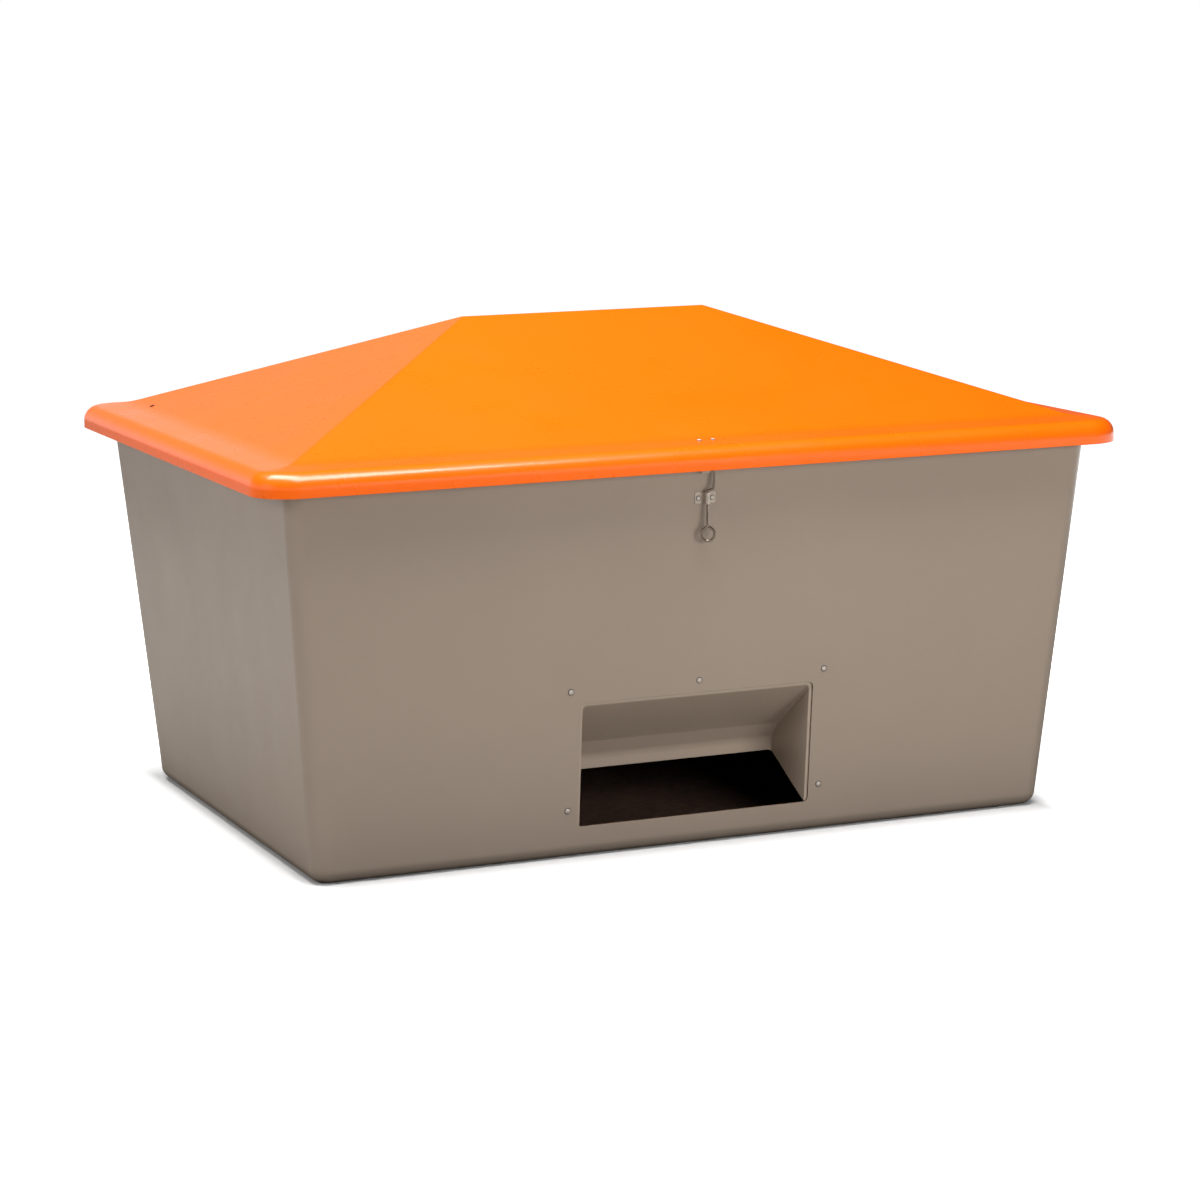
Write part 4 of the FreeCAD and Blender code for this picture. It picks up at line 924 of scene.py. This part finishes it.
class GRITBIN_OT_stage(Operator):
    """Set the camera, the lamps, the pale floor and the white surroundings"""
    bl_idname = "grit_bin.stage"
    bl_label = "Stage"

    def execute(self, context):
        stage = context.scene.grit_stage
        self.set_camera(context.scene, stage)
        self.set_floor(stage)
        self.set_surroundings(context.scene, stage)
        add_lamp("Key lamp", place=(-0.95, -0.8, 4.8), aim=(-0.1, -0.1, 0.6), size=(5.2, 2.2),
                 power=stage.key_power, reflected=True)
        add_lamp("Front lamp", place=(0.8, -3.9, 1.25), aim=(0.1, -0.6, 0.8), size=(2.2, 1.2),
                 power=stage.fill_power)
        add_lamp("Back lamp", place=(1.5, 5.2, 2.6), aim=(0.0, 0.6, 0.7), size=(3.0, 2.0),
                 power=stage.back_power)
        add_lamp("End lamp", place=(-4.8, -1.0, 1.95), aim=(-0.9, 0.0, 0.85), size=(2.6, 2.2),
                 power=stage.side_power)
        context.scene.view_settings.view_transform = "Standard"
        return {"FINISHED"}

    @staticmethod
    def set_camera(scene, stage):
        data = bpy.data.cameras.new("Camera")
        data.lens = stage.focal_length
        data.sensor_width = SENSOR_WIDTH
        data.clip_end = 100.0
        camera = bpy.data.objects.new("Camera", data)
        scene.collection.objects.link(camera)
        camera.matrix_world = (Matrix.Translation(stage.camera_place)
                               @ Matrix.Rotation(-stage.heading, 4, "Z")
                               @ Matrix.Rotation(math.pi / 2 - stage.tilt, 4, "X")
                               @ Matrix.Rotation(stage.roll, 4, "Z"))
        scene.camera = camera

    @staticmethod
    def set_floor(stage):
        """A pale floor that the camera, reflections and the bin's own faces see differently."""
        bm = bmesh.new()
        bmesh.ops.create_grid(bm, x_segments=1, y_segments=1, size=FLOOR_REACH)
        mesh = bpy.data.meshes.new("floor")
        bm.to_mesh(mesh)
        bm.free()
        floor = bpy.data.objects.new("floor", mesh)
        bpy.context.scene.collection.objects.link(floor)
        made = Nodes("Studio floor", stage.floor, 0.9)
        made.shader.inputs["Specular IOR Level"].default_value = 0.0
        path = made.node("LightPath")
        seen = path.outputs["Is Camera Ray"]
        apart = made.place
        # distance from the bin's base, counted faster past its ends
        for operation, operand in (("ABSOLUTE", None), ("SUBTRACT", (half_length(0.0), half_width(0.0), 0.0)),
                                   ("MAXIMUM", (0.0, 0.0, 0.0)),
                                   ("MULTIPLY", (stage.shadow_slant, 1.0, 1.0)), ("LENGTH", None)):
            node = made.node("VectorMath")
            node.operation = operation
            made.link(apart, node.inputs[0])
            if operand:
                node.inputs[1].default_value = operand
            apart = node.outputs["Value" if operation == "LENGTH" else "Vector"]
        # the floor glows white except beside the bin: the darker band there is partly its real shadow and
        # partly painted shade
        near = made.ranged(apart, stage.shadow_start, stage.shadow_end, 0.0, 1.0)
        # the floor as the bin's faces see it: darker than the floor the camera sees, nearly black right
        # beside the bin, which paints shade onto the base
        bounce = made.blended(made.ranged(apart, 0.0, stage.near_shade_width, 0.0, 1.0), stage.floor_shade_near,
                              stage.floor_bounce)
        made.paint(made.blended(seen, bounce, stage.floor))
        place = made.parts(made.place)
        # glow seen only in reflections: painted reflections on the bin, the latch wire's highlight among them
        behind = made.ranged(place["Y"], 0.3, 3.0, 0.0, stage.glow_behind)
        beside = made.ranged(place["X"], 3.3, 4.4, 0.0, stage.glow_beside)
        lift = made.chosen(seen, made.joined("MAXIMUM", behind, beside), near)
        shown = made.joined("MAXIMUM", seen, path.outputs["Is Glossy Ray"])
        made.shader.inputs["Emission Color"].default_value = WHITE
        made.link(made.joined("MULTIPLY", lift, shown), made.shader.inputs["Emission Strength"])
        mesh.materials.append(made.material)

    @staticmethod
    def set_surroundings(scene, stage):
        """White to the camera, a panel low round the bin in reflections and faint to everything else."""
        world = bpy.data.worlds.new("Studio")
        world.use_nodes = True
        scene.world = world
        world.node_tree.nodes.clear()
        made = Tree(world.node_tree)
        way = made.parts(made.node("TexCoord").outputs["Generated"])
        ramp = made.ranged(way["Z"], 0.04, 0.42, stage.panel_low, stage.panel_high, smooth=True)
        side = made.ranged(way["X"], 0.25, 0.52, 1.0, stage.panel_right, smooth=True)
        light = made.node("LightPath").outputs
        glow = made.chosen(light["Is Glossy Ray"], made.joined("MULTIPLY", ramp, stage.sky),
                           made.joined("MULTIPLY", ramp, side))
        back = made.node("Background", Color=WHITE)
        made.link(made.joined("MAXIMUM", glow, light["Is Camera Ray"]), back.inputs["Strength"])
        made.link(back.outputs[0], made.node("OutputWorld").inputs["Surface"])


# Panel and start

class GRITBIN_PT_panel(Panel):
    """The grit bin's sizes, colours and pieces"""
    bl_label = "Grit Bin"
    bl_idname = "GRITBIN_PT_panel"
    bl_space_type = "VIEW_3D"
    bl_region_type = "UI"
    bl_category = "Grit Bin"

    def draw(self, context):
        for operator in OPERATORS:
            self.layout.operator(operator.bl_idname)
        for name in GROUPS:
            group = getattr(context.scene, name)
            box = self.layout.box()
            for field in group.bl_rna.properties:
                if field.identifier not in ("rna_type", "name"):
                    box.prop(group, field.identifier)


GROUPS = {
    "grit_tub": TubSizes,
    "grit_hood": HoodSizes,
    "grit_lid": LidSizes,
    "grit_fixing": FixingSizes,
    "grit_latch": LatchSizes,
    "grit_finish": Finish,
    "grit_stage": StageSettings,
}
OPERATORS = (GRITBIN_OT_finishes, GRITBIN_OT_tub, GRITBIN_OT_hood, GRITBIN_OT_lid, GRITBIN_OT_rivets,
             GRITBIN_OT_latch, GRITBIN_OT_plates, GRITBIN_OT_stage)


def register():
    for group in (*GROUPS.values(), *OPERATORS, GRITBIN_PT_panel):
        bpy.utils.register_class(group)
    for name, group in GROUPS.items():
        setattr(bpy.types.Scene, name, PointerProperty(type=group))


def unregister():
    for name in GROUPS:
        delattr(bpy.types.Scene, name)
    for group in (GRITBIN_PT_panel, *reversed(OPERATORS), *reversed(list(GROUPS.values()))):
        bpy.utils.unregister_class(group)


def main():
    register()
    bpy.ops.grit_bin.finishes()
    bpy.ops.grit_bin.tub()
    bpy.ops.grit_bin.hood()
    bpy.ops.grit_bin.lid()
    bpy.ops.grit_bin.rivets()
    bpy.ops.grit_bin.latch()
    bpy.ops.grit_bin.plates()
    bpy.ops.grit_bin.stage()
    bpy.context.view_layer.update()


if __name__ == "__main__":
    main()
